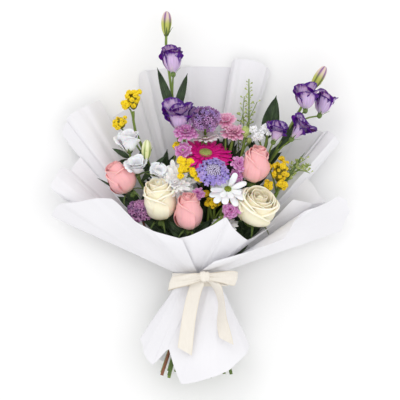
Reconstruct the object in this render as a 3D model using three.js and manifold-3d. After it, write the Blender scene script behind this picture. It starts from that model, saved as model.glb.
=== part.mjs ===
// A mixed flower bouquet in a white paper wrap, tied with a cream ribbon bow.
// It lies on its back: cut stems to -Y, blooms to +Y, the front of the bunch to +Z.
// Lengths are millimetres, and the origin is on the flat back of the wrap.

import * as THREE from 'three';
import { mergeVertices } from 'three/addons/utils/BufferGeometryUtils.js';
import Module from 'manifold-3d';

const wasm = await Module();
wasm.setup();

// Driving dimensions
const TIE_Y = -136;
const TIE_Z = 58;
const TIE_HALF_HEIGHT = 12;
const TIE_WIDEN = 1.12;
const TIE_FLATTEN = 0.95;
const FIRST_LAYER = 26.8;
const LAYER_STEP = 5.7;
const GATHER = 4.8;
const GATHERED_ABOVE = 0.3;
const GATHERED_BELOW = 0.4;
const PAPER = 0.9;
const CLEARANCE = 0.35;
const SHARPEST = 0.6;
const SEAT = 0.6;
const SUNK = 0.5;
const RING_STEP = 2;
const STEM_RADIUS = 3;
const STEM_SIDES = 4;
const BRANCH_RADIUS = 1.7;
const BRANCH_BEND = 6;
const NECK = 24;
const STEM_PITCH = 6.8;
const STEM_ROWS = [4, 5, 6, 5, 6, 5];
const STEM_END = { x: -6, y: -294, z: -6, ragged: 13 };
const STEM_SPLAY = { x: 3.5, z: 1.3 };
const PETAL = 0.9;
const PETAL_LENGTHS = [0.92, 1.06];
const PETAL_LIFT = 0.1;
const LEAF = 0.9;
const GOLDEN_ANGLE = Math.PI * (3 - Math.sqrt(5));
const SEED = 20;
const WELD = 1e-4;

// Colours
const WHITE_PAPER = 0xe9e6ec;
const CREAM = 0xf6eedc;
const STEM_GREEN = 0x5b6f2f;
const LEAF_GREEN = 0x33492b;
const BUD_GREEN = 0xb9c47c;
const ROSE_PINK = 0xf3a9a4;
const ROSE_CREAM = 0xf3ebcb;
const MAGENTA = 0xd40c7d;
const DISC_GREEN = 0x7f8f2c;
const PETAL_WHITE = 0xf2f0f4;
const PALE_PINK = 0xeec3d2;
const LILAC = 0x9482cc;
const MAUVE = 0xa070a6;
const ORCHID = 0xbe64b4;
const VIOLET_RIM = 0xc7b0dc;
const YELLOW = 0xf5cf08;
const OCHRE = 0xd0a508;
const TWINE = 0xa88c5c;

const place = (x, y, z) => new THREE.Vector3(x, y, z);
const facing = (x, y, z) => new THREE.Vector3(x, y, z).normalize();
const mix = THREE.MathUtils.lerp;
const degrees = THREE.MathUtils.degToRad;

// A seeded draw between two values
const DRAW = { factor: 1664525, shift: 1013904223, range: 2 ** 32 };
let drawState = SEED;
function draw(low, high) {
  drawState = (drawState * DRAW.factor + DRAW.shift) % DRAW.range;
  return mix(low, high, drawState / DRAW.range);
}

// Solids, joins and cuts
function solidOf(geometry) {
  const bare = geometry.clone();
  bare.deleteAttribute('normal');
  bare.deleteAttribute('uv');
  const merged = mergeVertices(bare, WELD);
  return new wasm.Manifold(new wasm.Mesh({
    numProp: 3,
    vertProperties: merged.attributes.position.array,
    triVerts: new Uint32Array(merged.index.array),
  }));
}

function geometryOf(solid) {
  const mesh = solid.getMesh();
  const geometry = new THREE.BufferGeometry();
  geometry.setAttribute('position', new THREE.BufferAttribute(mesh.vertProperties, 3));
  geometry.setIndex(new THREE.BufferAttribute(mesh.triVerts, 1));
  geometry.computeVertexNormals();
  return geometry;
}

function join(geometries) {
  return geometries.map(solidOf).reduce((whole, piece) => whole.add(piece));
}

function largestBody(solid) {
  const bodies = solid.decompose();
  return bodies.reduce((best, body) => (body.volume() > best.volume() ? body : best));
}

// The same body with every face moved out by the clearance
function grown(solid) {
  const geometry = geometryOf(solid);
  const position = geometry.attributes.position;
  const index = geometry.index.array;
  const point = (i) => new THREE.Vector3().fromBufferAttribute(position, i);
  const around = Array.from({ length: position.count }, () => []);
  for (let f = 0; f < index.length; f += 3) {
    const corners = [index[f], index[f + 1], index[f + 2]];
    const [a, b, c] = corners.map(point);
    const normal = b.clone().sub(a).cross(c.clone().sub(a)).normalize();
    if (normal.lengthSq() < 0.5) continue;
    corners.forEach((corner, k) => {
      const [here, left, right] = [k, k + 1, k + 2].map((n) => [a, b, c][n % 3]);
      const angle = left.clone().sub(here).angleTo(right.clone().sub(here));
      around[corner].push({ normal, angle });
    });
  }
  around.forEach((faces, i) => {
    if (faces.length === 0) return;
    const out = faces.reduce(
      (sum, { normal, angle }) => sum.addScaledVector(normal, angle), new THREE.Vector3(),
    ).normalize();
    const steepest = Math.min(...faces.map(({ normal }) => normal.dot(out)));
    const step = CLEARANCE / Math.max(SHARPEST, steepest);
    const moved = point(i).addScaledVector(out, step);
    position.setXYZ(i, moved.x, moved.y, moved.z);
  });
  return solidOf(geometry);
}

// A thin closed blade round a middle surface, split alike on both faces
function blade(surface, columns, rows, thickness) {
  const positions = [];
  const across = columns.length;
  const step = 1e-3;
  for (const side of [1, -1]) {
    for (const v of rows) {
      for (const u of columns) {
        const point = surface(u, v);
        const alongU = surface(u + step, v).sub(surface(u - step, v));
        const alongV = surface(u, v + step).sub(surface(u, v - step));
        const normal = alongU.cross(alongV).normalize();
        const half = typeof thickness === 'function' ? thickness(v) / 2 : thickness / 2;
        point.addScaledVector(normal, side * half);
        positions.push(point.x, point.y, point.z);
      }
    }
  }
  const faces = [];
  const under = across * rows.length;
  const quad = (a, b, c, d) => faces.push(a, b, c, a, c, d);
  for (let j = 0; j < rows.length - 1; j += 1) {
    for (let i = 0; i < across - 1; i += 1) {
      const a = j * across + i;
      const b = a + 1;
      const c = b + across;
      const d = a + across;
      quad(a, b, c, d);
      faces.push(under + a, under + c, under + b, under + a, under + d, under + c);
    }
  }
  const rim = [];
  for (let i = 0; i < across; i += 1) rim.push(i);
  for (let j = 1; j < rows.length; j += 1) rim.push(j * across + across - 1);
  for (let i = across - 2; i >= 0; i -= 1) rim.push((rows.length - 1) * across + i);
  for (let j = rows.length - 2; j > 0; j -= 1) rim.push(j * across);
  rim.forEach((a, k) => {
    const b = rim[(k + 1) % rim.length];
    quad(b, a, under + a, under + b);
  });
  const geometry = new THREE.BufferGeometry();
  geometry.setAttribute('position', new THREE.Float32BufferAttribute(positions, 3));
  geometry.setIndex(faces);
  return geometry;
}

const evenly = (count) => Array.from({ length: count + 1 }, (_, i) => i / count);

// Places a shape that grows along +Z so that it grows along the axis from a point
function setOn(geometry, at, axis, spin = 0) {
  const turn = new THREE.Quaternion().setFromUnitVectors(place(0, 0, 1), axis);
  geometry.rotateZ(spin);
  geometry.applyQuaternion(turn);
  geometry.translate(at.x, at.y, at.z);
  return geometry;
}

// The paper wrap: sheets gathered round the tie, each in its own layer
function tiePoint(degreesRound, layer, y) {
  const angle = degrees(degreesRound);
  const radius = FIRST_LAYER + layer * LAYER_STEP;
  return place(
    radius * TIE_WIDEN * Math.cos(angle),
    y,
    TIE_Z + radius * TIE_FLATTEN * Math.sin(angle),
  );
}

function wrapSheet({ from, to, layer, rim, hem, settle = 1, rows = [0, 0.25, 0.6, 1] }) {
  const rimCurve = new THREE.CatmullRomCurve3(rim.map((p) => place(...p)), false, 'centripetal');
  const hemCurve = hem && new THREE.CatmullRomCurve3(hem.map((p) => place(...p)), false, 'centripetal');
  const edge = (curve, u) => curve.getPoint(THREE.MathUtils.clamp(u, 0, 1));
  const reach = (start, end, v, settled) => {
    const left = Math.max(0, 1 - v / settled);
    const height = end.z + (start.z - end.z) * left * left;
    return place(mix(start.x, end.x, v), mix(start.y, end.y, v), Math.max(height, PAPER / 2));
  };
  const surface = (u, v) => {
    const round = mix(from, to, u);
    if (v >= 1) {
      return reach(tiePoint(round, layer, TIE_Y + TIE_HALF_HEIGHT), edge(rimCurve, u), v - 1, settle);
    }
    if (v >= 0 || !hem) {
      return tiePoint(round, layer, TIE_Y + TIE_HALF_HEIGHT * (2 * v - 1));
    }
    return reach(tiePoint(round, layer, TIE_Y - TIE_HALF_HEIGHT), edge(hemCurve, u), -v, 1);
  };
  const below = hem ? [-1, -0.5] : [];
  const lines = [...below, 0, ...rows.map((v) => v + 1)];
  const thickness = (v) => {
    const away = v > 1 ? (v - 1) / GATHERED_ABOVE : Math.max(0, -v) / GATHERED_BELOW;
    return mix(GATHER, PAPER, Math.min(1, away));
  };
  const count = rim.length - 1;
  return blade(surface, evenly(count), lines, thickness);
}

const SHEETS = {
  wrap_back: {
    from: 232, to: 308, layer: 2, settle: 0.3, rows: [0, 0.12, 0.3, 1],
    rim: [[-151, 143, 0], [-126, 158, 0], [-107, 170, 0], [-104, 220, 0], [-60, 228, 0], [0, 231, 0],
      [54, 229, 0], [92, 216, 0]],
    hem: [[-84, -268, 5], [-45, -288, 0], [0, -292, 0], [45, -290, 0], [76, -268, 6]],
  },
  wrap_back_right: {
    from: 262, to: 298, layer: 1, settle: 0.5,
    rim: [[55, 238, 8], [60, 243, 20], [85, 242, 27], [108, 235, 22], [121, 223, 12], [110, 214, 6]],
  },
  wrap_left_upper: {
    from: 197, to: 238, layer: 1,
    rim: [[-206, 72, 22], [-234, 106, 28], [-234, 126, 38], [-226, 144, 50], [-210, 154, 47],
      [-190, 165, 34], [-172, 173, 20]],
  },
  wrap_left_side: {
    from: 150, to: 191, layer: 0,
    rim: [[-236, 4, 58], [-252, 20, 70], [-249, 42, 68], [-236, 55, 54], [-220, 51, 43],
      [-205, 74, 36]],
  },
  wrap_left_front: {
    from: 96, to: 184, layer: 2,
    rim: [[-30, -66, 148], [-76, -53, 147], [-110, -36, 140], [-128, -17, 132], [-150, 2, 122],
      [-178, 3, 108], [-207, -3, 92], [-240, -8, 72], [-252, -27, 52], [-238, -36, 38]],
    hem: [[-51, -252, 102], [-80, -281, 94], [-97, -262, 82], [-102, -236, 62], [-92, -246, 34]],
  },
  wrap_front: {
    from: 52, to: 116, layer: 0,
    rim: [[128, -40, 104], [104, -56, 114], [80, -68, 126], [56, -48, 140], [44, -29, 146],
      [22, -42, 144], [-17, -60, 140], [-42, -66, 134]],
  },
  wrap_right_front: {
    from: -6, to: 94, layer: 1,
    rim: [[243, -53, 30], [252, -20, 44], [251, 0, 60], [240, 7, 76], [216, -5, 88],
      [176, -20, 100], [160, -36, 114], [142, -65, 136], [88, -85, 146], [24, -104, 128]],
    hem: [[66, -262, 22], [82, -247, 48], [78, -262, 74], [52, -288, 94], [29, -298, 104],
      [-5, -309, 107], [-31, -313, 103], [-44, -284, 99], [-54, -250, 95]],
  },
  wrap_right_side: {
    from: -26, to: 10, layer: 0,
    rim: [[184, 38, 38], [202, 16, 46], [215, -3, 56], [192, -6, 70], [160, 1, 78]],
  },
  wrap_right_upper: {
    from: -56, to: -31, layer: 1,
    rim: [[182, 133, 18], [210, 117, 30], [220, 118, 46], [234, 110, 50], [240, 99, 38],
      [214, 66, 24], [184, 34, 22]],
  },
};

// The ribbon
function ellipseShape(halfX, halfZ) {
  const shape = new THREE.Shape();
  shape.absellipse(0, 0, halfX, halfZ, 0, 2 * Math.PI);
  return shape;
}

function ring(innerRadius, outerRadius, height, sides) {
  const shape = ellipseShape(outerRadius * TIE_WIDEN, outerRadius * TIE_FLATTEN);
  shape.holes.push(ellipseShape(innerRadius * TIE_WIDEN, innerRadius * TIE_FLATTEN));
  const geometry = new THREE.ExtrudeGeometry(shape, {
    depth: height, steps: 1, bevelEnabled: false, curveSegments: sides,
  });
  geometry.rotateX(Math.PI / 2);
  geometry.translate(0, TIE_Y + height / 2, TIE_Z);
  return geometry;
}

const BINDING_OUTER = FIRST_LAYER - GATHER / 2 - 0.4;
const BINDING_HEIGHT = 6;
const BAND_INNER = FIRST_LAYER + 2 * LAYER_STEP + GATHER / 2 + 1.3;
const BAND_THICK = 1.2;
const BOW_BACK = TIE_Z + (BAND_INNER + BAND_THICK) * TIE_FLATTEN + CLEARANCE;
const RIBBON = 0.9;
const RIBBON_HALF = 12;
const KNOT = { x: 8, y: -130, wide: 22, tall: 17, deep: 13 };

function ribbonLoop(endX, centreY, depth) {
  const outward = Math.sign(endX - KNOT.x);
  const outline = (inset) => {
    const root = KNOT.x + outward * 2 * inset;
    const reach = endX - outward * inset;
    const shape = new THREE.Shape();
    shape.moveTo(root, 1.5 + inset);
    shape.quadraticCurveTo((root + reach) / 2, inset, reach, depth * 0.45);
    shape.quadraticCurveTo(reach, depth - inset, (root + reach) / 2, depth - inset);
    shape.lineTo(root, depth * 0.7 - inset);
    shape.closePath();
    return shape;
  };
  const shape = outline(0);
  shape.holes.push(new THREE.Path(outline(RIBBON).getPoints(3).reverse()));
  const geometry = new THREE.ExtrudeGeometry(shape, {
    depth: 2 * RIBBON_HALF, steps: 1, bevelEnabled: false, curveSegments: 3,
  });
  geometry.rotateX(Math.PI / 2);
  geometry.translate(0, centreY + RIBBON_HALF, BOW_BACK);
  return geometry;
}

function ribbonTail(points, twist) {
  const line = new THREE.CatmullRomCurve3(points.map((p) => place(...p)));
  const surface = (u, v) => {
    const t = THREE.MathUtils.clamp(v, 0, 1);
    const point = line.getPoint(t);
    const turn = twist * Math.sin(Math.PI * t);
    point.x += u * RIBBON_HALF * Math.cos(turn);
    point.z += u * RIBBON_HALF * Math.sin(turn);
    point.y -= u * 5 * (v < 0.99 ? 0 : 1);
    return point;
  };
  return blade(surface, [-1, 1], evenly(6), RIBBON);
}

function ribbonBow() {
  const knot = new THREE.SphereGeometry(1, 6, 4);
  knot.scale(KNOT.wide / 2, KNOT.tall / 2, KNOT.deep / 2);
  knot.translate(KNOT.x, KNOT.y, BOW_BACK + KNOT.deep / 2);
  return join([
    knot,
    ribbonLoop(-54, -139, 14),
    ribbonLoop(64, -134, 14),
    ribbonTail([[2, -132, 103], [-7, -150, 108], [-17, -190, 112], [-26, -257, 115]], 0.25),
    ribbonTail([[14, -132, 104], [28, -146, 110], [36, -172, 114], [38, -205, 114], [45, -240, 115]], 0.5),
  ]);
}

// Stems: slots packed in rows at the tie, filled back to front and left to right
function stemSlots(targets) {
  const order = targets.map((target, index) => ({ target, index }));
  order.sort((a, b) => a.target.z - b.target.z);
  const slots = [];
  const depth = (STEM_ROWS.length - 1) * STEM_PITCH * Math.sin(Math.PI / 3);
  let taken = 0;
  STEM_ROWS.forEach((count, row) => {
    const members = order.slice(taken, taken + count);
    members.sort((a, b) => a.target.x - b.target.x);
    members.forEach((member, i) => {
      slots[member.index] = {
        x: (i - (members.length - 1) / 2) * STEM_PITCH,
        z: TIE_Z - depth / 2 + row * STEM_PITCH * Math.sin(Math.PI / 3),
      };
    });
    taken += count;
  });
  return slots;
}

// The places that a stem passes, from its cut end to its bloom
function stemStations(slot, { at, axis, via }, seat) {
  const end = place(
    STEM_END.x + slot.x * STEM_SPLAY.x,
    STEM_END.y + draw(-STEM_END.ragged, STEM_END.ragged),
    TIE_Z + STEM_END.z + (slot.z - TIE_Z) * STEM_SPLAY.z,
  );
  const low = place(slot.x, TIE_Y - TIE_HALF_HEIGHT, slot.z);
  const high = place(slot.x, TIE_Y + TIE_HALF_HEIGHT, slot.z);
  const neck = at.clone().addScaledVector(axis, -NECK);
  const top = at.clone().addScaledVector(axis, -seat);
  return [end, low, high, ...(via ? [via] : []), neck, top];
}

// A closed stalk that runs straight from station to station
function stalk(stations, radius) {
  const positions = [];
  const last = stations.length - 1;
  stations.forEach((station, i) => {
    const ahead = stations[Math.min(last, i + 1)].clone().sub(stations[Math.max(0, i - 1)]).normalize();
    const side = ahead.clone().cross(place(0, 0, 1)).normalize();
    const lift = side.clone().cross(ahead);
    for (let k = 0; k < STEM_SIDES; k += 1) {
      const angle = (k / STEM_SIDES) * 2 * Math.PI;
      const point = station.clone()
        .addScaledVector(side, radius * Math.cos(angle))
        .addScaledVector(lift, radius * Math.sin(angle));
      positions.push(point.x, point.y, point.z);
    }
  });
  const faces = [];
  for (let i = 0; i < last; i += 1) {
    for (let k = 0; k < STEM_SIDES; k += 1) {
      const a = i * STEM_SIDES + k;
      const b = i * STEM_SIDES + (k + 1) % STEM_SIDES;
      faces.push(a, a + STEM_SIDES, b + STEM_SIDES, a, b + STEM_SIDES, b);
    }
  }
  const top = last * STEM_SIDES;
  for (let k = 1; k < STEM_SIDES - 1; k += 1) {
    faces.push(0, k, k + 1, top, top + k + 1, top + k);
  }
  const geometry = new THREE.BufferGeometry();
  geometry.setAttribute('position', new THREE.Float32BufferAttribute(positions, 3));
  geometry.setIndex(faces);
  return geometry;
}

// A place on a stalk, from 0 at its cut end to 1 at its top
function onStalk(stations, share) {
  const lengths = stations.slice(1).map((station, i) => station.distanceTo(stations[i]));
  let left = share * lengths.reduce((sum, length) => sum + length);
  let i = 0;
  while (i < lengths.length - 1 && left > lengths[i]) {
    left -= lengths[i];
    i += 1;
  }
  return stations[i].clone().lerp(stations[i + 1], left / lengths[i]);
}

function branch(stations, share, tip) {
  const root = onStalk(stations, share);
  const middle = root.clone().lerp(tip, 0.5).add(place(0, BRANCH_BEND, 0));
  return stalk([root, middle, tip], BRANCH_RADIUS);
}

// A leaf from a root to a tip, with its face turned to a side and a keel along it
function leaf(root, tip, width, face = facing(0, 0.2, 1), arch = 6) {
  const along = tip.clone().sub(root);
  const side = along.clone().cross(face).normalize();
  const lift = side.clone().cross(along).normalize();
  const surface = (u, v) => {
    const half = (width / 2) * Math.max(0.06, Math.sin(Math.PI * Math.min(1, v * 0.93 + 0.07)) ** 0.8);
    return root.clone()
      .addScaledVector(along, v)
      .addScaledVector(side, u * half)
      .addScaledVector(lift, arch * Math.sin(Math.PI * v) + Math.abs(u) * half * 0.35);
  };
  return blade(surface, [-1, 0, 1], [0, 0.45, 1], LEAF);
}

// Blooms, each grown along +Z from its base before it is set in place
const lathe = (profile, radius, height, sides) => new THREE.LatheGeometry(
  profile.map(([r, h]) => new THREE.Vector2(r * radius, h * height)), sides,
).rotateX(Math.PI / 2);
const dome = (radius, height, sides = 7) => (
  lathe([[0, 0], [1, 0.1], [0.7, 0.8], [0, 1]], radius, height, sides)
);
const calyx = (radius, depth) => (
  lathe([[0, -1], [1, 0], [0, 0]], radius, depth, 6).translate(0, 0, -SEAT)
);
const core = (radius, height) => lathe([[0, SUNK], [1, SUNK], [1, height], [0, height]], radius, 1, 4);

// A ring of petals that grow from one hub, as one thin closed piece
function petalRing({ count, start, length, width, tilt, base = 0, turn = 0, widest = 0.66, droop = 0 }) {
  const positions = [];
  const outline = [];
  for (let i = 0; i < count; i += 1) {
    const angle = turn + (i / count) * 2 * Math.PI;
    const reach = length * draw(...PETAL_LENGTHS);
    const raise = tilt + (i % 2) * PETAL_LIFT;
    const alongPetal = (v, sideStep) => {
      const slope = raise - droop * v;
      const r = start + reach * v * Math.cos(slope);
      const h = base + reach * v * Math.sin(slope);
      return { angle: angle + Math.atan2(sideStep, r), r: Math.hypot(r, sideStep), h, slope };
    };
    outline.push(
      { angle: angle - Math.PI / count, r: start, h: base, slope: tilt },
      alongPetal(widest, -width / 2),
      alongPetal(1, 0),
      alongPetal(widest, width / 2),
    );
  }
  for (const side of [1, -1]) {
    const half = (side * PETAL) / 2;
    positions.push(0, 0, base + half);
    for (const { angle, r, h, slope } of outline) {
      const out = r - half * Math.sin(slope);
      positions.push(out * Math.cos(angle), out * Math.sin(angle), h + half * Math.cos(slope));
    }
  }
  const faces = [];
  const under = outline.length + 1;
  const both = (a, b, c) => faces.push(a, b, c, under + a, under + c, under + b);
  for (let i = 0; i < count; i += 1) {
    const [valley, left, tip, right] = [1, 2, 3, 4].map((k) => 4 * i + k);
    const next = 1 + (4 * (i + 1)) % outline.length;
    both(0, valley, next);
    both(valley, left, right);
    both(valley, right, next);
    both(left, tip, right);
    [valley, left, tip, right, next].forEach((a, k, loop) => {
      if (k === 4) return;
      const b = loop[k + 1];
      faces.push(under + a, under + b, b, under + a, b, a);
    });
  }
  const geometry = new THREE.BufferGeometry();
  geometry.setAttribute('position', new THREE.Float32BufferAttribute(positions, 3));
  geometry.setIndex(faces);
  return geometry;
}

// A ring of wide petals that stand round the axis like a cup, also one thin closed piece
function cupRing({ count, start, shoulder, lip, foot, top, turn = 0, spread = 0.96 }) {
  const rows = [
    { r: start, h: foot, width: 0.5 },
    { r: shoulder, h: mix(foot, top, 0.42), width: 0.5 * spread },
    { r: lip, h: top, width: 0.34 * spread },
  ];
  const half = PETAL / 2;
  const positions = [];
  const perPetal = 8;
  for (const side of [1, -1]) {
    positions.push(0, 0, foot + side * half);
    for (let i = 0; i < count; i += 1) {
      const middle = turn + (i / count) * 2 * Math.PI;
      const pitch = (2 * Math.PI) / count;
      const set = (row, across) => {
        const { r, h, width } = rows[row];
        const angle = middle + across * width * pitch;
        const wall = row === 0 ? 0.3 : 1;
        const out = r - side * half * wall;
        const drop = row === 2 ? 0.06 * top * Math.abs(across) : 0;
        positions.push(out * Math.cos(angle), out * Math.sin(angle), h - drop + side * half * (1.1 - wall));
      };
      set(0, -1);
      set(0, 0);
      [1, 2].forEach((row) => [-1, 0, 1].forEach((across) => set(row, across)));
    }
  }
  const faces = [];
  const under = 1 + perPetal * count;
  const both = (a, b, c) => faces.push(a, b, c, under + a, under + c, under + b);
  for (let i = 0; i < count; i += 1) {
    const [valley, mid, left1, mid1, right1, left2, mid2, right2] = evenly(7).map(
      (t) => 1 + perPetal * i + Math.round(t * 7),
    );
    const next = 1 + (perPetal * (i + 1)) % (perPetal * count);
    both(0, valley, mid);
    both(0, mid, next);
    both(valley, left1, mid1);
    both(valley, mid1, mid);
    both(mid, mid1, right1);
    both(mid, right1, next);
    both(left1, left2, mid2);
    both(left1, mid2, mid1);
    both(mid1, mid2, right2);
    both(mid1, right2, right1);
    const edge = [valley, left1, left2, mid2, right2, right1, next];
    for (let k = 0; k < edge.length - 1; k += 1) {
      const a = edge[k];
      const b = edge[k + 1];
      faces.push(under + a, under + b, b, under + a, b, a);
    }
  }
  const geometry = new THREE.BufferGeometry();
  geometry.setAttribute('position', new THREE.Float32BufferAttribute(positions, 3));
  geometry.setIndex(faces);
  return geometry;
}

// A rose: two cups of petals, one in the other, round a closed bud of two more
function roseHead({ radius, height, open }) {
  const inner = SUNK + RING_STEP;
  return [
    cupRing({
      count: 5, start: 7, shoulder: radius * 0.95, lip: radius * mix(0.62, 1.08, open), foot: SUNK,
      top: height * mix(0.88, 0.7, open),
    }),
    cupRing({
      count: 4, start: 4, shoulder: radius * 0.58, lip: radius * mix(0.42, 0.7, open), foot: inner,
      top: height * mix(0.98, 0.88, open), turn: 0.5,
    }),
    core(2.2, inner),
    lathe([[0, 0], [0.3, 0.04], [1, 0.55], [0, 1]], radius * 0.24, height * 0.9, 6).translate(0, 0, inner),
  ];
}

// A head of florets: a rounded body whose surface rises to a point at every third place
function floretHead({ radius, height, detail = 1 }) {
  const round = new THREE.IcosahedronGeometry(1, detail);
  round.deleteAttribute('normal');
  round.deleteAttribute('uv');
  const head = mergeVertices(round, WELD);
  const position = head.attributes.position;
  for (let i = 0; i < position.count; i += 1) {
    const out = i % 3 === 0 ? 1.06 : 0.84;
    position.setXYZ(
      i,
      position.getX(i) * out * radius,
      position.getY(i) * out * radius,
      (position.getZ(i) * out + 0.8) * height * 0.5,
    );
  }
  return head;
}

function cupFlower({ radius, height }) {
  return [
    cupRing({
      count: 5, start: 4, shoulder: radius * 0.82, lip: radius, foot: 0.5, top: height,
    }),
    lathe([[0, 0], [1, 0.05], [0.7, 0.9], [0, 1]], 3.2, height * 0.5, 5).translate(0, 0, SUNK),
  ];
}

// Plants: where each bloom's base sits, which way it faces and what it carries
const PLANTS = [
  {
    name: 'rose_pink_left', kind: 'rose', colour: ROSE_PINK,
    at: place(-122, 16, 78), axis: facing(-0.46, 0.85, 0.25),
    head: { radius: 24, height: 58, open: 0.2 },
  },
  {
    name: 'rose_pink_front', kind: 'rose', colour: ROSE_PINK,
    at: place(-18, -50, 106), axis: facing(-0.03, 0.88, 0.42),
    head: { radius: 25, height: 62, open: 0.1 },
  },
  {
    name: 'rose_pink_right', kind: 'rose', colour: ROSE_PINK,
    at: place(88, 32, 84), axis: facing(0.22, 0.9, 0.35),
    head: { radius: 25, height: 62, open: 0.1 },
  },
  {
    name: 'rose_cream_left', kind: 'rose', colour: ROSE_CREAM,
    at: place(-66, -32, 92), axis: facing(-0.1, 0.9, 0.42),
    head: { radius: 28, height: 66, open: 0.3 },
  },
  {
    name: 'rose_cream_right', kind: 'rose', colour: ROSE_CREAM,
    at: place(88, -34, 88), axis: facing(0.3, 0.74, 0.6),
    head: { radius: 34, height: 58, open: 0.5 },
  },
  {
    name: 'gerbera', kind: 'ray', colour: MAGENTA, disc: DISC_GREEN,
    at: place(13, 76, 90), axis: facing(0.1, 0.8, 0.6),
    rings: [
      { count: 20, length: 29, width: 8.5, tilt: 0.12 },
      { count: 8, length: 13, width: 7, tilt: 0.5, turn: 0.1 },
    ],
    disc_radius: 12, disc_height: 6,
  },
  {
    name: 'daisy_centre', kind: 'ray', colour: PETAL_WHITE, disc: DISC_GREEN,
    at: place(49, 14, 116), axis: facing(0.1, 0.6, 0.8),
    rings: [{ count: 14, length: 25, width: 10, tilt: 0.1 }],
    disc_radius: 9, disc_height: 6,
  },
  {
    name: 'daisy_low', kind: 'ray', colour: PETAL_WHITE, whole: true,
    at: place(42, -42, 110), axis: facing(0, 0.8, 0.6),
    rings: [{ count: 11, length: 17, width: 9, tilt: 0.15 }],
    disc_radius: 7, disc_height: 5,
  },
  {
    name: 'daisy_pale', kind: 'ray', colour: PALE_PINK, whole: true,
    at: place(2, 112, 68), axis: facing(-0.05, 0.85, 0.5),
    rings: [{ count: 11, length: 18, width: 9, tilt: 0.2 }],
    disc_radius: 6, disc_height: 5,
  },
  {
    name: 'chrysanthemum', kind: 'ray', colour: PETAL_WHITE, plain: true,
    at: place(-38, 30, 82), axis: facing(0.05, 0.3, 0.95),
    rings: [
      { count: 11, length: 24, width: 11, tilt: 0.1 },
      { count: 6, length: 20, width: 11, tilt: 0.6, turn: 0.2 },
    ],
    disc_radius: 7, disc_height: 8,
  },
  {
    name: 'scabiosa', kind: 'ray', colour: LILAC, plain: true,
    at: place(22, 46, 118), axis: facing(0.05, 0.5, 0.86),
    rings: [
      { count: 9, length: 16, width: 11, tilt: 0.12 },
      { count: 5, length: 10, width: 9, tilt: 0.6 },
    ],
    disc_radius: 8, disc_height: 7,
  },
  {
    name: 'lisianthus_white', kind: 'cup', colour: PETAL_WHITE,
    at: place(-120, 82, 80), axis: facing(-0.1, 0.95, 0.3),
    flowers: [{ head: { radius: 18, height: 31 } }], fused: true,
    leaves: [[0.88, place(-76, 70, 94), 10], [0.92, place(-88, 104, 84), 7]],
  },
  {
    name: 'lisianthus_left', kind: 'cup', colour: VIOLET_RIM,
    at: place(-58, 284, 46), axis: facing(0.02, 1, 0), budLength: 25,
    leaves: [[0.76, place(-82, 226, 48), 12], [0.77, place(-28, 214, 48), 12]],
    flowers: [
      { t: 0.82, at: place(-46, 218, 70), axis: facing(-0.05, 0.95, 0.25),
        head: { radius: 17, height: 42 } },
      { t: 0.6, at: place(-38, 128, 72), axis: facing(-0.02, 0.9, 0.3),
        head: { radius: 20, height: 42 } },
    ],
  },
  {
    name: 'lisianthus_right', kind: 'cup', colour: VIOLET_RIM,
    at: place(192, 190, 60), axis: facing(0.5, 0.86, 0), budLength: 44,
    leaves: [[0.8, place(174, 140, 54), 12], [0.78, place(176, 118, 56), 9]],
    flowers: [
      { t: 0.84, at: place(180, 156, 76), axis: facing(0.05, 0.92, 0.3),
        head: { radius: 19, height: 40 } },
      { t: 0.86, at: place(206, 148, 54), axis: facing(0.35, 0.9, 0.15),
        head: { radius: 16, height: 36 } },
      { t: 0.72, at: place(158, 106, 78), axis: facing(0.6, 0.7, 0.35),
        head: { radius: 18, height: 38 } },
      { t: 0.7, at: place(126, 102, 84), axis: facing(0.3, 0.88, 0.35),
        head: { radius: 14, height: 30 } },
    ],
  },
  {
    name: 'yellow_left', kind: 'heads', colour: YELLOW,
    at: place(-114, 158, 54), axis: facing(-0.15, 0.95, 0.2),
    heads: [
      { radius: 15, height: 34 },
      { t: 0.8, at: place(-132, 122, 60), axis: facing(-0.4, 0.8, 0.3), radius: 15, height: 28 },
      { t: 0.66, at: place(-52, 88, 84), axis: facing(-0.1, 0.9, 0.3), radius: 7, height: 9, detail: 0 },
    ],
  },
  {
    name: 'yellow_centre', kind: 'heads', colour: YELLOW,
    at: place(-19, 42, 106), axis: facing(-0.05, 0.7, 0.7),
    heads: [
      { radius: 19, height: 24, detail: 2 },
    ],
  },
  {
    name: 'yellow_low', kind: 'heads', colour: OCHRE,
    at: place(24, -16, 100), axis: facing(0, 0.75, 0.65),
    heads: [{ radius: 16, height: 24, detail: 2 }],
  },
  {
    name: 'yellow_right', kind: 'heads', colour: OCHRE,
    at: place(132, 24, 74), axis: facing(0.1, 0.9, 0.3),
    heads: [{ radius: 15, height: 46, detail: 2 }],
  },
  {
    name: 'mauve_top', kind: 'heads', colour: MAUVE,
    at: place(7, 131, 72), axis: facing(0, 0.9, 0.4),
    heads: [{ radius: 23, height: 33, detail: 2 }],
  },
  {
    name: 'mauve_low', kind: 'heads', colour: MAUVE,
    at: place(-98, -32, 84), axis: facing(-0.2, 0.85, 0.5),
    heads: [{ radius: 20, height: 34, detail: 2 }],
  },
  {
    name: 'orchid_top', kind: 'ray', colour: ORCHID, whole: true,
    at: place(-31, 115, 92), axis: facing(0.1, 0.75, 0.65),
    rings: [{ count: 8, length: 16, width: 13, tilt: 0.25 }],
    disc_radius: 6, disc_height: 6,
    beside: { t: 0.88, at: place(-36, 86, 98), axis: facing(0, 0.7, 0.7), count: 4, length: 8 },
  },
  {
    name: 'pink_spray', kind: 'ray', colour: PALE_PINK, whole: true,
    at: place(56, 108, 88), axis: facing(0.1, 0.75, 0.65),
    rings: [{ count: 7, length: 14, width: 11, tilt: 0.3 }],
    disc_radius: 6, disc_height: 6,
    beside: { t: 0.84, at: place(44, 132, 78), axis: facing(0, 0.85, 0.5), count: 5, length: 11 },
  },
  {
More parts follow.
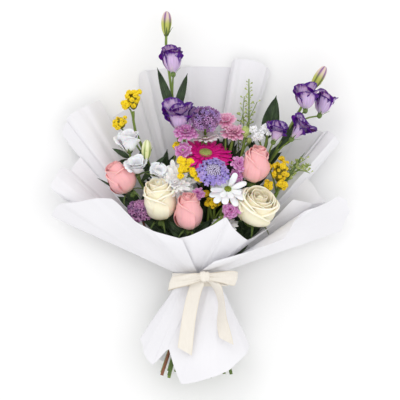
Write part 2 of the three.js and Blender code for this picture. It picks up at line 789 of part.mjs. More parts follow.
    name: 'buttons_upper', kind: 'heads', colour: ORCHID,
    at: place(66, 60, 104), axis: facing(0.35, 0.7, 0.6),
    heads: [
      { radius: 12, height: 14 },
      { t: 0.86, at: place(62, 42, 102), axis: facing(0.2, 0.6, 0.75), radius: 8, height: 9 },
    ],
  },
  {
    name: 'buttons_low', kind: 'heads', colour: ORCHID,
    at: place(50, -14, 128), axis: facing(0.72, 0.55, 0.42), via: place(11, -52, 114),
    heads: [
      { axis: facing(-0.1, 0.6, 0.75), radius: 11, height: 12 },
      { t: 0.62, at: place(8, 4, 122), axis: facing(-0.1, 0.8, 0.6), radius: 6, height: 12 },
    ],
  },
  {
    name: 'white_sprig', kind: 'heads', colour: PETAL_WHITE,
    at: place(115, 116, 78), axis: facing(0.1, 0.85, 0.4),
    heads: [
      { radius: 8, height: 9 },
      { t: 0.9, at: place(104, 112, 84), axis: facing(-0.3, 0.8, 0.5), radius: 5, height: 6, detail: 0 },
    ],
  },
  {
    name: 'green_buds', kind: 'heads', colour: BUD_GREEN,
    at: place(76, 100, 80), axis: facing(0.1, 0.95, 0.2),
    heads: [
      { radius: 6, height: 20 },
      { t: 0.9, at: place(83, 98, 78), axis: facing(0.3, 0.9, 0.3), radius: 4, height: 12, detail: 0 },
    ],
  },
  {
    name: 'pods_tall', kind: 'pods', colour: BUD_GREEN,
    at: place(84, 208, 44), axis: facing(0, 1, 0), first: 0.78, count: 7, size: 6,
  },
  {
    name: 'pods_right', kind: 'pods', colour: BUD_GREEN,
    at: place(190, 60, 62), axis: facing(0.96, 0.28, 0.05), first: 0.84, count: 7, size: 6,
    leaves: [[0.84, place(180, 82, 58), 6]],
  },
  {
    name: 'foliage_left', kind: 'leaves', colour: LEAF_GREEN,
    at: place(-70, 40, 46), axis: facing(-0.2, 0.9, 0.1),
    leaves: [[0.6, place(-132, 6, 56), 16], [0.76, place(-96, 44, 40), 17], [0.95, place(-56, 88, 42), 18]],
  },
  {
    name: 'foliage_centre', kind: 'leaves', colour: LEAF_GREEN,
    at: place(38, 60, 50), axis: facing(0.1, 0.9, 0.1),
    leaves: [[0.72, place(84, 36, 44), 18], [0.84, place(72, 88, 44), 18], [0.96, place(36, 104, 46), 18]],
  },
  {
    name: 'foliage_right', kind: 'leaves', colour: LEAF_GREEN,
    at: place(116, 112, 48), axis: facing(0.1, 1, 0.1),
    leaves: [[0.985, place(131, 180, 60), 30], [0.76, place(104, 62, 44), 14],
      [0.84, place(92, 104, 46), 17]],
  },
];

const SLOTS = stemSlots(PLANTS.map((plant) => {
  const far = (plant.at.y - TIE_Y) / 100;
  return place(plant.at.x / far, 0, (plant.at.z - TIE_Z) / far);
}));

// Nodes in the order in which they keep their whole shape: later ones are cut clear of earlier ones
const bouquet = new THREE.Group();
const standing = [];

function addPiece(name, colour, solid, roughness = 0.6) {
  let kept = solid;
  const box = kept.boundingBox();
  const near = (other) => [0, 1, 2].every((axis) => (
    other.min[axis] - CLEARANCE < box.max[axis] && box.min[axis] < other.max[axis] + CLEARANCE
  ));
  for (const other of standing) {
    if (near(other.box)) kept = kept.subtract(other.cutter);
  }
  kept = largestBody(kept);
  const mesh = new THREE.Mesh(
    geometryOf(kept),
    new THREE.MeshStandardMaterial({ color: colour, roughness, metalness: 0 }),
  );
  mesh.name = name;
  bouquet.add(mesh);
  standing.push({ box: kept.boundingBox(), cutter: grown(kept) });
}

for (const [name, sheet] of Object.entries(SHEETS)) {
  addPiece(name, WHITE_PAPER, join([wrapSheet(sheet)]), 0.75);
}
addPiece('ribbon_band', CREAM, join([
  ring(BAND_INNER, BAND_INNER + BAND_THICK, 2 * TIE_HALF_HEIGHT - 2, 12),
]), 0.45);
addPiece('ribbon_bow', CREAM, ribbonBow(), 0.45);

const laterPieces = [];

function greenOf(plant, index) {
  const split = ['rose', 'ray', 'cup'].includes(plant.kind) && !plant.whole && !plant.fused;
  const stations = stemStations(SLOTS[index], plant, split ? SEAT : -SUNK);
  const pieces = [stalk(stations, STEM_RADIUS)];
  for (const [t, tip, width] of plant.leaves ?? []) {
    pieces.push(leaf(onStalk(stations, t), tip, width));
  }
  return { stations, pieces };
}

PLANTS.forEach((plant, index) => {
  const { name, kind, at, axis, colour } = plant;
  const { stations, pieces } = greenOf(plant, index);
  if (kind === 'rose') {
    pieces.push(setOn(calyx(plant.head.radius * 0.36, 13), at, axis));
    pieces.push(setOn(petalRing({
      count: 4, start: 6, length: plant.head.radius * 0.8, width: 6, tilt: -0.35, base: -2, widest: 0.45,
    }), at, axis));
    addPiece(`${name}_stem`, STEM_GREEN, join(pieces));
    laterPieces.push([`${name}_petals`, colour, () => join(
      roseHead(plant.head).map((piece) => setOn(piece, at, axis)),
    )]);
  }
  if (kind === 'ray') {
    const oneBody = plant.whole || plant.plain;
    const rings = plant.rings.map((ring, i) => petalRing({
      start: plant.disc_radius + 1, base: SUNK + RING_STEP * i, ...ring,
    }));
    const last = SUNK + RING_STEP * (rings.length - 1);
    const disc = dome(plant.disc_radius, plant.disc_height, 8)
      .translate(0, 0, oneBody ? last : last + PETAL / 2 + CLEARANCE);
    const head = rings.map((piece) => setOn(piece, at, axis));
    if (rings.length > 1) head.push(setOn(core(plant.disc_radius * 0.55, last), at, axis));
    setOn(disc, at, axis);
    if (plant.beside) {
      const side = plant.beside;
      pieces.push(branch(stations, side.t, side.at.clone().addScaledVector(side.axis, SUNK)));
      pieces.push(setOn(dome(5, 5, 6), side.at, side.axis));
      head.push(setOn(petalRing({
        count: side.count, start: 3, length: side.length, width: 8, tilt: 0.4, base: 1,
      }), side.at, side.axis));
    }
    if (plant.whole) {
      laterPieces.push([name, colour, () => join([...pieces, disc, ...head])]);
    } else {
      pieces.push(setOn(calyx(plant.disc_radius * 0.8, 9), at, axis));
      addPiece(`${name}_stem`, STEM_GREEN, join(pieces));
      if (!plant.plain) {
        laterPieces.push([`${name}_disc`, plant.disc, () => join([disc])]);
      } else {
        head.push(disc);
      }
      laterPieces.push([`${name}_petals`, colour, () => join(head)]);
    }
  }
  if (kind === 'cup') {
    plant.flowers.forEach((flower, i) => {
      const root = flower.at ?? at;
      const way = flower.axis ?? axis;
      const seat = root.clone().addScaledVector(way, plant.fused ? SUNK : -SEAT - 1);
      if (flower.t) pieces.push(branch(stations, flower.t, seat));
      pieces.push(setOn(calyx(5, 9), root, way));
      const head = cupFlower(flower.head).map((piece) => setOn(piece, root, way));
      if (plant.fused) pieces.push(...head);
      else laterPieces.push([`${name}_flower_${i + 1}`, colour, () => join(head)]);
    });
    if (plant.budLength) {
      const bud = new THREE.SphereGeometry(1, 6, 4);
      bud.rotateX(Math.PI / 2);
      bud.scale(7, 7, plant.budLength / 2 + 3);
      bud.translate(0, 0, plant.budLength / 2);
      pieces.push(setOn(bud, at, axis));
    }
    addPiece(plant.fused ? name : `${name}_stem`, plant.fused ? colour : STEM_GREEN, join(pieces));
  }
  if (kind === 'heads') {
    plant.heads.forEach((head) => {
      const root = head.at ?? at;
      const way = head.axis ?? axis;
      if (head.t) pieces.push(branch(stations, head.t, root.clone().addScaledVector(way, SUNK)));
      pieces.push(setOn(floretHead(head), root, way));
    });
    laterPieces.push([name, colour, () => join(pieces)]);
  }
  if (kind === 'pods') {
    for (let i = 0; i < plant.count; i += 1) {
      const t = mix(plant.first, 0.995, i / (plant.count - 1));
      const centre = onStalk(stations, t);
      const angle = i * GOLDEN_ANGLE;
      const out = plant.size * 0.8;
      const tip = centre.clone().add(place(out * Math.cos(angle), 2, out * Math.sin(angle)));
      const pod = new THREE.OctahedronGeometry(plant.size, 0);
      pod.scale(1, 1, 0.6);
      pieces.push(pod.translate(tip.x, tip.y, tip.z));
    }
    laterPieces.push([name, colour, () => join(pieces)]);
  }
  if (kind === 'leaves') {
    laterPieces.push([name, colour, () => join(pieces)]);
  }
});

for (const [name, colour, build] of laterPieces) {
  addPiece(name, colour, build());
}

addPiece('stem_binding', TWINE, join([
  ring(BINDING_OUTER - BAND_THICK, BINDING_OUTER, BINDING_HEIGHT, 10),
]));

export default bouquet;
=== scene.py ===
from collections import namedtuple
import math
import random

import bmesh
import bpy
from mathutils import Matrix, Vector


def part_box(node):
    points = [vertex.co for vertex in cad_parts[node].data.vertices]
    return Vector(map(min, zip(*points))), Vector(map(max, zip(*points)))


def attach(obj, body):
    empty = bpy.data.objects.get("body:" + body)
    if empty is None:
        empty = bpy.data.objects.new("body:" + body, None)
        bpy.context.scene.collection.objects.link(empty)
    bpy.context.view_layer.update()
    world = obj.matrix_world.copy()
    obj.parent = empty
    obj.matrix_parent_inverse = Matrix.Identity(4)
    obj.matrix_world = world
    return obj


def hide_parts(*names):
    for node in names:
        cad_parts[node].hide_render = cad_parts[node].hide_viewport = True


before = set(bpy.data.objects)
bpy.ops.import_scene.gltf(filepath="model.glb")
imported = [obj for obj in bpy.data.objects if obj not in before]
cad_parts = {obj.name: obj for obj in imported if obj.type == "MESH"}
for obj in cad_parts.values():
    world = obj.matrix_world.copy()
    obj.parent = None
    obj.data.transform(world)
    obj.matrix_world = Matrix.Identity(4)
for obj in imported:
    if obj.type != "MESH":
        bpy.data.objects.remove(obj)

# A mixed flower bouquet in a paper wrap, laid on its back: stems to -Y, blooms to +Y, front to +Z.
# Shapes are made in millimetres and placed in metres.

MM = 0.001
BODY = "root"
GOLDEN_ANGLE = math.pi * (3 - math.sqrt(5))
SEED = 20

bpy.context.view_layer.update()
chance = random.Random(SEED)

# The camera looks straight down; a pixel of the photograph is 1.7 mm
FIELD = 0.68
FRONT = 0.1
CAMERA_HEIGHT = 6.0
SENSOR = 36.0

bpy.ops.object.select_all(action="DESELECT")
bpy.ops.object.camera_add(location=(0, 0, CAMERA_HEIGHT), rotation=(0, 0, 0))
camera = bpy.context.object
camera.name = "camera"
camera.data.sensor_width = SENSOR
camera.data.lens = SENSOR * (CAMERA_HEIGHT - FRONT) / FIELD
bpy.context.scene.camera = camera
bpy.context.scene.view_settings.view_transform = "Standard"


# Finishes

class Link:
    """A socket of a finish, on which arithmetic adds Math nodes."""

    def __init__(self, finish, socket):
        self.finish = finish
        self.socket = socket

    def math(self, operation, *values):
        return self.finish.node(
            "ShaderNodeMath", {"operation": operation}, dict(enumerate(values))
        )

    def __add__(self, other):
        return self.math("ADD", self, other)

    def __sub__(self, other):
        return self.math("SUBTRACT", self, other)

    def __rsub__(self, other):
        return self.math("SUBTRACT", other, self)

    def __mul__(self, other):
        return self.math("MULTIPLY", self, other)

    def __pow__(self, other):
        return self.math("POWER", self, other)

    def __abs__(self):
        return self.math("ABSOLUTE", self)

    def sine(self):
        return self.math("SINE", self)

    def at_least(self, other):
        return self.math("MAXIMUM", self, other)

    def at_most(self, other):
        return self.math("MINIMUM", self, other)


class Finish:
    """A procedural material built node by node round one Principled shader."""

    def __init__(self, name, **constants):
        self.material = bpy.data.materials.new(name)
        self.material.use_nodes = True
        self.tree = self.material.node_tree
        self.shader = self.tree.nodes["Principled BSDF"]
        for socket, value in constants.items():
            self.shader.inputs[socket.replace("_", " ")].default_value = value

    def node(self, kind, settings=None, inputs=None, output=0):
        made = self.tree.nodes.new(kind)
        for key, value in (settings or {}).items():
            if key == "stops":
                self.set_stops(made.color_ramp, value)
            else:
                setattr(made, key, value)
        for key, value in (inputs or {}).items():
            if isinstance(value, Link):
                self.tree.links.new(value.socket, made.inputs[key])
            else:
                made.inputs[key].default_value = value
        return Link(self, made.outputs[output])

    def set_stops(self, ramp, stops):
        for _ in stops[2:]:
            ramp.elements.new(0.5)
        for element, (place, colour) in zip(ramp.elements, stops):
            element.position = place
            element.color = (*colour, 1)

    def place(self):
        return self.node("ShaderNodeTexCoord", output="Object")

    def stretched(self, vector, x, y, z):
        return self.node(
            "ShaderNodeVectorMath", {"operation": "MULTIPLY"}, {0: vector, 1: (x, y, z)}
        )

    def uv(self):
        vector = self.node("ShaderNodeTexCoord", output="UV")
        parts = [self.node("ShaderNodeSeparateXYZ", None, {0: vector}, i) for i in (0, 1)]
        return vector, *parts

    def noise(self, vector, scale, detail, roughness=0.5):
        return self.node(
            "ShaderNodeTexNoise", None,
            {"Vector": vector, "Scale": scale, "Detail": detail, "Roughness": roughness},
        )

    def ramp(self, factor, stops):
        return self.node("ShaderNodeValToRGB", {"stops": stops}, {0: factor})

    def blend(self, factor, first, second, mode="MIX"):
        first, second = (
            value if isinstance(value, Link) else (*value, 1) for value in (first, second)
        )
        return self.node(
            "ShaderNodeMix", {"data_type": "RGBA", "blend_type": mode},
            {0: factor, 6: first, 7: second}, 2,
        )

    def feed(self, socket, value):
        self.tree.links.new(value.socket, self.shader.inputs[socket])

    def bump(self, height, distance, strength=1.0):
        self.feed("Normal", self.node(
            "ShaderNodeBump", None, {"Height": height, "Distance": distance, "Strength": strength}
        ))


def linear(red, green, blue):
    """A colour given in 8-bit sRGB, as the linear one that a shader takes."""
    def channel(value):
        value /= 255
        return value / 12.92 if value <= 0.04045 else ((value + 0.055) / 1.055) ** 2.4
    return tuple(channel(value) for value in (red, green, blue))


BLACK = (0.0, 0.0, 0.0)
WHITE = (1.0, 1.0, 1.0)


def paper_finish():
    finish = Finish("wrap_paper_white", Specular_IOR_Level=0.3, Sheen_Weight=0.1)
    place = finish.place()
    fibre = finish.noise(place, 900.0, 4.0, 0.65)
    crumple = finish.noise(place, 34.0, 3.0)
    cloud = finish.noise(place, 9.0, 2.0)
    tone = finish.ramp(cloud * 0.7 + fibre * 0.3, [
        (0.25, linear(227, 226, 230)), (0.75, linear(239, 238, 241)),
    ])
    finish.feed("Base Color", tone)
    finish.feed("Roughness", fibre * 0.2 + 0.5)
    finish.bump(crumple + fibre * 0.04, 0.0016, 0.5)
    return finish.material


def ribbon_finish():
    finish = Finish(
        "ribbon_cream_satin", Specular_IOR_Level=0.5, Sheen_Weight=0.5, Sheen_Roughness=0.35
    )
    _, across, along = finish.uv()
    weft = (along * 900.0).sine()
    warp = (across * 320.0).sine()
    edge = (abs(across - 0.5) * 2.0) ** 14.0
    slub = finish.noise(finish.stretched(finish.place(), 300.0, 60.0, 300.0), 1.0, 3.0)
    body = finish.blend(slub, linear(234, 227, 215), linear(243, 237, 227))
    finish.feed("Base Color", finish.blend(edge * 0.6, body, linear(222, 208, 184)))
    finish.feed("Roughness", slub * 0.18 + 0.3)
    finish.bump(weft * 0.5 + warp * 0.5 + edge * 2.0 + slub, 0.00012, 0.7)
    return finish.material


def twine_finish():
    finish = Finish("twine_jute", Specular_IOR_Level=0.2)
    strand = finish.noise(finish.stretched(finish.place(), 500.0, 1500.0, 500.0), 1.0, 4.0)
    finish.feed("Base Color", finish.ramp(strand, [
        (0.3, linear(120, 96, 58)), (0.7, linear(190, 164, 116)),
    ]))
    finish.feed("Roughness", strand * 0.2 + 0.7)
    finish.bump(strand, 0.0004)
    return finish.material


def stem_finish(name, dark, light):
    finish = Finish(name, Specular_IOR_Level=0.4)
    place = finish.place()
    streak = finish.noise(finish.stretched(place, 900.0, 40.0, 900.0), 1.0, 4.0)
    patch = finish.noise(place, 28.0, 2.0)
    finish.feed("Base Color", finish.ramp(streak * 0.5 + patch * 0.5, [
        (0.32, dark), (0.68, light),
    ]))
    finish.feed("Roughness", streak * 0.2 + 0.4)
    finish.bump(streak, 0.0004, 0.7)
    return finish.material


def cut_finish():
    finish = Finish("stem_cut_face", Specular_IOR_Level=0.5)
    pith = finish.noise(finish.place(), 1400.0, 3.0)
    finish.feed("Base Color", finish.ramp(pith, [
        (0.35, linear(150, 158, 92)), (0.65, linear(206, 212, 150)),
    ]))
    finish.feed("Roughness", pith * 0.2 + 0.5)
    finish.bump(pith, 0.0003)
    return finish.material


def leaf_finish(name, dark, light, vein):
    finish = Finish(name, Specular_IOR_Level=0.45, Sheen_Weight=0.1)
    _, across, along = finish.uv()
    side = abs(across - 0.5)
    midrib = 1.0 - (side * 26.0).at_most(1.0)
    veins = ((along * 9.0 - side * 5.0) * 2 * math.pi).sine().at_least(0.0) ** 6.0
    patch = finish.noise(finish.place(), 90.0, 4.0)
    body = finish.ramp(patch, [(0.3, dark), (0.7, light)])
    finish.feed("Base Color", finish.blend((midrib + veins * 0.4).at_most(1.0) * 0.7, body, vein))
    finish.feed("Roughness", patch * 0.25 + 0.35)
    finish.bump(midrib * -1.0 - veins * 0.5 + patch * 0.4, 0.0006, 0.8)
    return finish.material


def petal_finish(name, root, body, rim, rim_from, ribs, shade, rib_depth=0.0002, ragged=0.12,
                 sheen=0.35, margin=0.0):
    """Petals from root to rim by their own UV map, with fine lengthwise streaks."""
    finish = Finish(
        name, Specular_IOR_Level=0.3, Sheen_Weight=sheen, Subsurface_Weight=0.12,
        Subsurface_Scale=0.004,
    )
    vector, across, along = finish.uv()
    streak = finish.noise(finish.stretched(vector, ribs, 1.6, 1.0), 1.0, 4.0, 0.55)
    patch = finish.noise(finish.place(), 120.0, 3.0)
    reach = along + (streak - 0.5) * (ragged * 2) + (patch - 0.5) * ragged
    if margin:
        reach = reach + (abs(across - 0.5) * 2.0) ** 4.0 * margin
    graded = finish.ramp(reach, [
        (0.0, root), (0.3, body), (max(0.31, rim_from - 0.12), body),
        (min(1.0, rim_from + 0.12), rim),
    ])
    shades = finish.ramp(streak, [(0.3, (1 - shade,) * 3), (0.7, WHITE)])
    finish.feed("Base Color", finish.blend(1.0, graded, shades, "MULTIPLY"))
    finish.feed("Roughness", patch * 0.2 + 0.4)
    finish.bump(streak + patch * 0.3, rib_depth, 0.9)
    return finish.material


def floret_finish(name, heart, body, tip, other=None):
    """Small florets from their middle to their tips, some of another tone by place."""
    finish = Finish(name, Specular_IOR_Level=0.3, Sheen_Weight=0.3)
    _, across, along = finish.uv()
    away = ((across - 0.5) ** 2.0 + (along - 0.5) ** 2.0) ** 0.5 * 2.0
    patch = finish.noise(finish.place(), 160.0, 3.0)
    graded = finish.ramp(away + (patch - 0.5) * 0.4, [
        (0.08, heart), (0.3, body), (0.9, tip),
    ])
    if other:
        drift = finish.noise(finish.place(), 42.0, 2.0)
        drift = finish.ramp(drift, [(0.44, BLACK), (0.58, WHITE)])
        graded = finish.blend(drift * 0.75, graded, other)
    finish.feed("Base Color", graded)
    finish.feed("Roughness", patch * 0.2 + 0.45)
    finish.bump(patch, 0.0003)
    return finish.material


def mottled_finish(name, dark, light, scale, depth=0.0004):
    """A close-grained finish for discs, cores, calyxes, stamens and pods."""
    finish = Finish(name, Specular_IOR_Level=0.35)
    grain = finish.noise(finish.place(), scale, 4.0, 0.6)
    finish.feed("Base Color", finish.ramp(grain, [(0.32, dark), (0.66, light)]))
    finish.feed("Roughness", grain * 0.25 + 0.45)
    finish.bump(grain, depth)
    return finish.material


def bud_finish(name, low, stripes, tip, streak):
    """A furled bud, striped along its folds, its upper half of another tone."""
    finish = Finish(name, Specular_IOR_Level=0.35, Sheen_Weight=0.15)
    _, across, along = finish.uv()
    stripe = ((across * 5.0 + along * 0.8) * 2 * math.pi).sine() * 0.5 + 0.5
    grain = finish.noise(finish.place(), 300.0, 3.0)
    body = finish.blend(stripe ** 3.0, low, stripes)
    upper = finish.blend(stripe ** 2.0, tip, streak)
    share = (along * 6.0 - 3.0 + (grain - 0.5) * 0.6).at_least(0.0).at_most(1.0)
    finish.feed("Base Color", finish.blend(share, body, upper))
    finish.feed("Roughness", grain * 0.2 + 0.4)
    finish.bump(stripe + grain * 0.4, 0.0005)
    return finish.material


PAPER_WHITE = paper_finish()
SATIN = ribbon_finish()
JUTE = twine_finish()
STEM = stem_finish("stem_green", linear(82, 108, 38), linear(138, 160, 74))
STEM_DARK = stem_finish("stem_dark", linear(58, 80, 36), linear(104, 128, 58))
STEM_RED = stem_finish("stem_red_brown", linear(112, 62, 44), linear(156, 104, 74))
CUT = cut_finish()
LEAF = leaf_finish("leaf_dark", linear(24, 40, 22), linear(52, 76, 40), linear(84, 108, 62))
LEAF_SOFT = leaf_finish(
    "leaf_soft", linear(72, 98, 52), linear(118, 142, 84), linear(158, 178, 116)
)
CALYX = mottled_finish("calyx_green", linear(74, 98, 44), linear(124, 148, 76), 500.0)
POD = mottled_finish("pod_green", linear(120, 140, 66), linear(196, 206, 130), 300.0)
BUD = bud_finish("lisianthus_bud", linear(190, 194, 96), linear(86, 104, 34),
                 linear(222, 200, 184), linear(132, 84, 150))
BUD_PALE = bud_finish("white_bud", linear(226, 228, 170), linear(120, 144, 62),
                      linear(236, 238, 200), linear(186, 196, 130))
ROSE_PINK = petal_finish(
    "rose_pink", linear(246, 214, 190), linear(249, 180, 182), linear(250, 194, 190), 0.95,
    ribs=22.0, shade=0.07, sheen=0.1,
)
ROSE_CREAM = petal_finish(
    "rose_cream", linear(240, 222, 166), linear(255, 244, 216), linear(255, 249, 232), 0.9,
    ribs=22.0, shade=0.05, sheen=0.1,
)
MAGENTA = petal_finish(
    "gerbera_magenta", linear(238, 66, 170), linear(232, 2, 142), linear(242, 16, 158), 0.85,
    ribs=9.0, rib_depth=0.0006, shade=0.22, sheen=0.02,
)
DAISY_WHITE = petal_finish(
    "daisy_white", linear(236, 240, 222), linear(252, 250, 252), linear(254, 253, 254), 0.8,
    ribs=8.0, rib_depth=0.0005, shade=0.06, sheen=0.2,
)
DAISY_PINK = petal_finish(
    "daisy_pink", linear(240, 208, 214), linear(252, 234, 238), linear(254, 248, 249), 0.7,
    ribs=8.0, rib_depth=0.0004, shade=0.06, sheen=0.2,
)
CHRYSANTHEMUM = petal_finish(
    "chrysanthemum_white", linear(254, 244, 240), linear(255, 250, 250), linear(255, 253, 253), 0.7,
    ribs=7.0, rib_depth=0.0003, shade=0.03, sheen=0.5,
)
VIOLET_RIM = petal_finish(
    "lisianthus_violet_rim", linear(244, 238, 224), linear(222, 192, 232), linear(78, 4, 134), 0.78,
    ribs=11.0, shade=0.3, ragged=0.42, sheen=0.02, margin=0.52,
)
LISIANTHUS_WHITE = petal_finish(
    "lisianthus_white", linear(206, 218, 150), linear(244, 242, 246), linear(250, 250, 252), 0.8,
    ribs=12.0, shade=0.08,
)
LILAC_FLORET = floret_finish(
    "floret_lilac", linear(226, 216, 246), linear(162, 144, 214), linear(146, 128, 206),
    other=linear(184, 156, 216),
)
LILAC_PALE = floret_finish(
    "floret_lilac_pale", linear(150, 140, 190), linear(206, 196, 232), linear(226, 218, 240)
)
PIN = mottled_finish("stamen_pale", linear(206, 196, 232), linear(244, 240, 252), 600.0)
ORCHID_PETAL = petal_finish(
    "orchid_petal", linear(196, 92, 164), linear(214, 122, 192), linear(232, 168, 216), 0.78,
    ribs=12.0, rib_depth=0.0005, shade=0.25, sheen=0.15,
)
PINK_PETAL = petal_finish(
    "pink_petal", linear(214, 110, 160), linear(222, 140, 178), linear(240, 184, 208), 0.78,
    ribs=12.0, rib_depth=0.0005, shade=0.22, sheen=0.15,
)
SEPAL = petal_finish(
    "sepal_green", linear(84, 106, 48), linear(106, 132, 66), linear(140, 160, 92), 0.85,
    ribs=8.0, rib_depth=0.0004, shade=0.25, sheen=0.1,
)
YELLOW = floret_finish(
    "floret_yellow", linear(206, 166, 0), linear(246, 214, 0), linear(250, 224, 8)
)
# The truss's own olive, made darker as painted shade for the gaps between the knobs where the core
# shows.
TRUSS_AND_GAP_SHADE = mottled_finish("truss_olive_gap_shade", linear(70, 68, 10), linear(140, 128, 14), 400.0)
KNOB = mottled_finish("knob_gold", linear(186, 148, 0), linear(232, 196, 2), 600.0)
OCHRE = floret_finish(
    "floret_ochre", linear(170, 138, 0), linear(230, 194, 2), linear(244, 214, 10)
)
MAUVE = floret_finish(
    "floret_mauve", linear(84, 38, 92), linear(158, 98, 162), linear(208, 164, 210),
    other=linear(146, 122, 190),
)
MAUVE_SHADE = floret_finish(
    "floret_mauve_shade", linear(56, 26, 60), linear(104, 60, 106), linear(158, 108, 162)
)
MAUVE_DEEP = floret_finish(
    "floret_mauve_deep", linear(84, 32, 76), linear(156, 88, 146), linear(206, 152, 196)
)
SMALL_WHITE = floret_finish(
    "floret_white", linear(190, 190, 90), linear(240, 238, 242), linear(250, 250, 252)
)
DISC_GREEN = mottled_finish("disc_green", linear(74, 92, 12), linear(150, 164, 40), 900.0, 0.0008)
DISC_PALE = mottled_finish("disc_pale", linear(140, 152, 88), linear(206, 212, 170), 800.0, 0.0008)
DISC_GOLD = mottled_finish("disc_gold", linear(104, 122, 34), linear(192, 200, 118), 900.0, 0.0008)
HEART = mottled_finish("head_heart", linear(58, 34, 66), linear(102, 68, 112), 500.0)


# Modelling by hand: a primitive, its rows and columns, and what is done to them

CUPPED_THICKNESS = 0.5


def start_grid(name, across, along, width=1.0, length=1.0):
    """A flat grid from y 0 to its length, left in edit mode, with its rows and columns."""
    bpy.ops.object.select_all(action="DESELECT")
    bpy.ops.mesh.primitive_grid_add(x_subdivisions=across, y_subdivisions=along, size=1)
    piece = bpy.context.object
    piece.name = name
    rows = [[] for _ in range(along + 1)]
    columns = [[] for _ in range(across + 1)]
    for vertex in piece.data.vertices:
        rows[round((vertex.co.y + 0.5) * along)].append(vertex.index)
        columns[round((vertex.co.x + 0.5) * across)].append(vertex.index)
    bpy.ops.object.mode_set(mode="EDIT")
    bpy.ops.transform.translate(value=(0, 0.5, 0))
    bpy.ops.transform.resize(value=(width, length, 1), center_override=(0, 0, 0))
    return piece, rows, columns


def choose(piece, wanted):
    shape = bmesh.from_edit_mesh(piece.data)
    wanted = set(wanted)
    for vertex in shape.verts:
        vertex.select = vertex.index in wanted
    shape.select_flush_mode()
    bmesh.update_edit_mesh(piece.data, loop_triangles=False, destructive=False)


def vertex_at(piece, index):
    shape = bmesh.from_edit_mesh(piece.data)
    shape.verts.ensure_lookup_table()
    return shape.verts[index].co.copy()


def move(x=0.0, y=0.0, z=0.0):
    bpy.ops.transform.translate(value=(x, y, z))


def resize(x=1.0, y=1.0, z=1.0, centre=(0, 0, 0)):
    bpy.ops.transform.resize(value=(x, y, z), center_override=centre)


def turn(degrees, axis, centre):
    """Turns what is selected; with no window the operator's own sense is the other way."""
    bpy.ops.transform.rotate(
        value=-math.radians(degrees), orient_axis=axis, center_override=centre
    )


def leave_edit():
    bpy.ops.object.mode_set(mode="OBJECT")


def apply_modifier(piece, kind, **settings):
    bpy.context.view_layer.objects.active = piece
    made = piece.modifiers.new(kind.lower(), kind)
    for key, value in settings.items():
        setattr(made, key, value)
    bpy.ops.object.modifier_apply(modifier=made.name)


def refine(piece):
    apply_modifier(piece, "SUBSURF", levels=1, render_levels=1)


def thicken(piece, thickness):
    apply_modifier(piece, "SOLIDIFY", thickness=thickness, offset=0.0)


def paint(piece, finish):
    piece.data.materials.clear()
    piece.data.materials.append(finish)
    return piece


def flat_petal(name, finish, length, width, outline, cup, curl=0.0, ruffle=0.0, across=4,
               thickness=0.4):
    """A petal along +Y with its face to +Z. The outline gives its width from root to tip."""
    along = len(outline) - 1
    piece, rows, columns = start_grid(name, across, along, width, length)
    for share, row in zip(outline, rows):
        choose(piece, row)
        resize(x=share)
    half = across / 2
    for i, column in enumerate(columns):
        side = abs(i - half) / half
        if side == 0:
            continue
        choose(piece, column)
        move(z=cup * side ** 2)
        choose(piece, set(column) & set(rows[-1]))
        move(y=-length * 0.07 * side ** 2)
        if ruffle:
            choose(piece, set(column) & set(rows[-1] + rows[-2]))
            move(z=ruffle if i % 2 else -ruffle)
    middle = columns[int(half)]
    for j in range(1, along):
        hinge = vertex_at(piece, next(iter(set(rows[j]) & set(middle))))
        choose(piece, [index for row in rows[j + 1:] for index in row])
        turn(curl / (along - 1), "X", tuple(hinge))
    leave_edit()
    refine(piece)
    thicken(piece, thickness)
    return paint(piece, finish)


def wrapped_petal(finish, profile, spread, drop, lean, ruffle, across):
    """A petal that stands round the axis Y on a profile of radii and heights."""
    along = len(profile) - 1
    piece, rows, columns = start_grid("petal", across, along)
    half = across / 2
    for i, column in enumerate(columns):
        side = (i - half) / half
        choose(piece, column)
        move(x=math.sin(side * spread) - side * 0.5, z=math.cos(side * spread))
    for j, (radius, height) in enumerate(profile):
        choose(piece, rows[j])
        resize(x=radius, z=radius)
        move(y=height - j / along)
    lip = [index for row in rows[-3:] for index in row]
    upper = [index for row in rows[len(rows) // 2:] for index in row]
    for i, column in enumerate(columns):
        side = (i - half) / half
        choose(piece, column)
        resize(x=1 + lean * side, z=1 + lean * side)
        choose(piece, set(column) & set(upper))
        move(y=-drop * 0.4 * abs(side) ** 2)
        choose(piece, set(column) & set(lip))
        move(y=-drop * 0.6 * abs(side) ** 3)
        wave = 1 + (ruffle if i % 2 else -ruffle)
        resize(x=wave, z=wave)
    leave_edit()
    refine(piece)
    thicken(piece, CUPPED_THICKNESS)
    return paint(piece, finish)


def ball(name, finish, width, height, segments=12, rings=8, *, foot):
    """A round body along +Z whose lowest point is at its foot."""
    bpy.ops.object.select_all(action="DESELECT")
    bpy.ops.mesh.primitive_uv_sphere_add(segments=segments, ring_count=rings, radius=0.5)
    piece = bpy.context.object
    piece.name = name
    bpy.ops.object.mode_set(mode="EDIT")
    resize(x=width, y=width, z=height)
    move(z=foot + height / 2)
    leave_edit()
    return paint(piece, finish)


# Copies, joins and places

TURN_SPREAD = 0.08
HEIGHT_SPREAD = 0.04
EVEN_SIZES = (0.85, 1.15)
SMOOTH_UNDER = 60


def copy_of(model, matrix):
    made = bpy.data.objects.new(model.name, model.data.copy())
    bpy.context.collection.objects.link(made)
    made.data.transform(matrix)
    return made


def facing(way):
    return way.to_track_quat("Z", "Y").to_matrix().to_4x4()


def set_on(at, axis, spin=0.0, size=1.0):
    """What carries a shape made along +Z in millimetres onto the bunch in metres."""
    return (
        Matrix.Translation(Vector(at) * MM)
        @ facing(Vector(axis).normalized())
        @ Matrix.Rotation(spin, 4, "Z")
        @ Matrix.Scale(MM * size, 4)
    )


def retire(*models):
    for model in models:
        bpy.data.objects.remove(model, do_unlink=True)


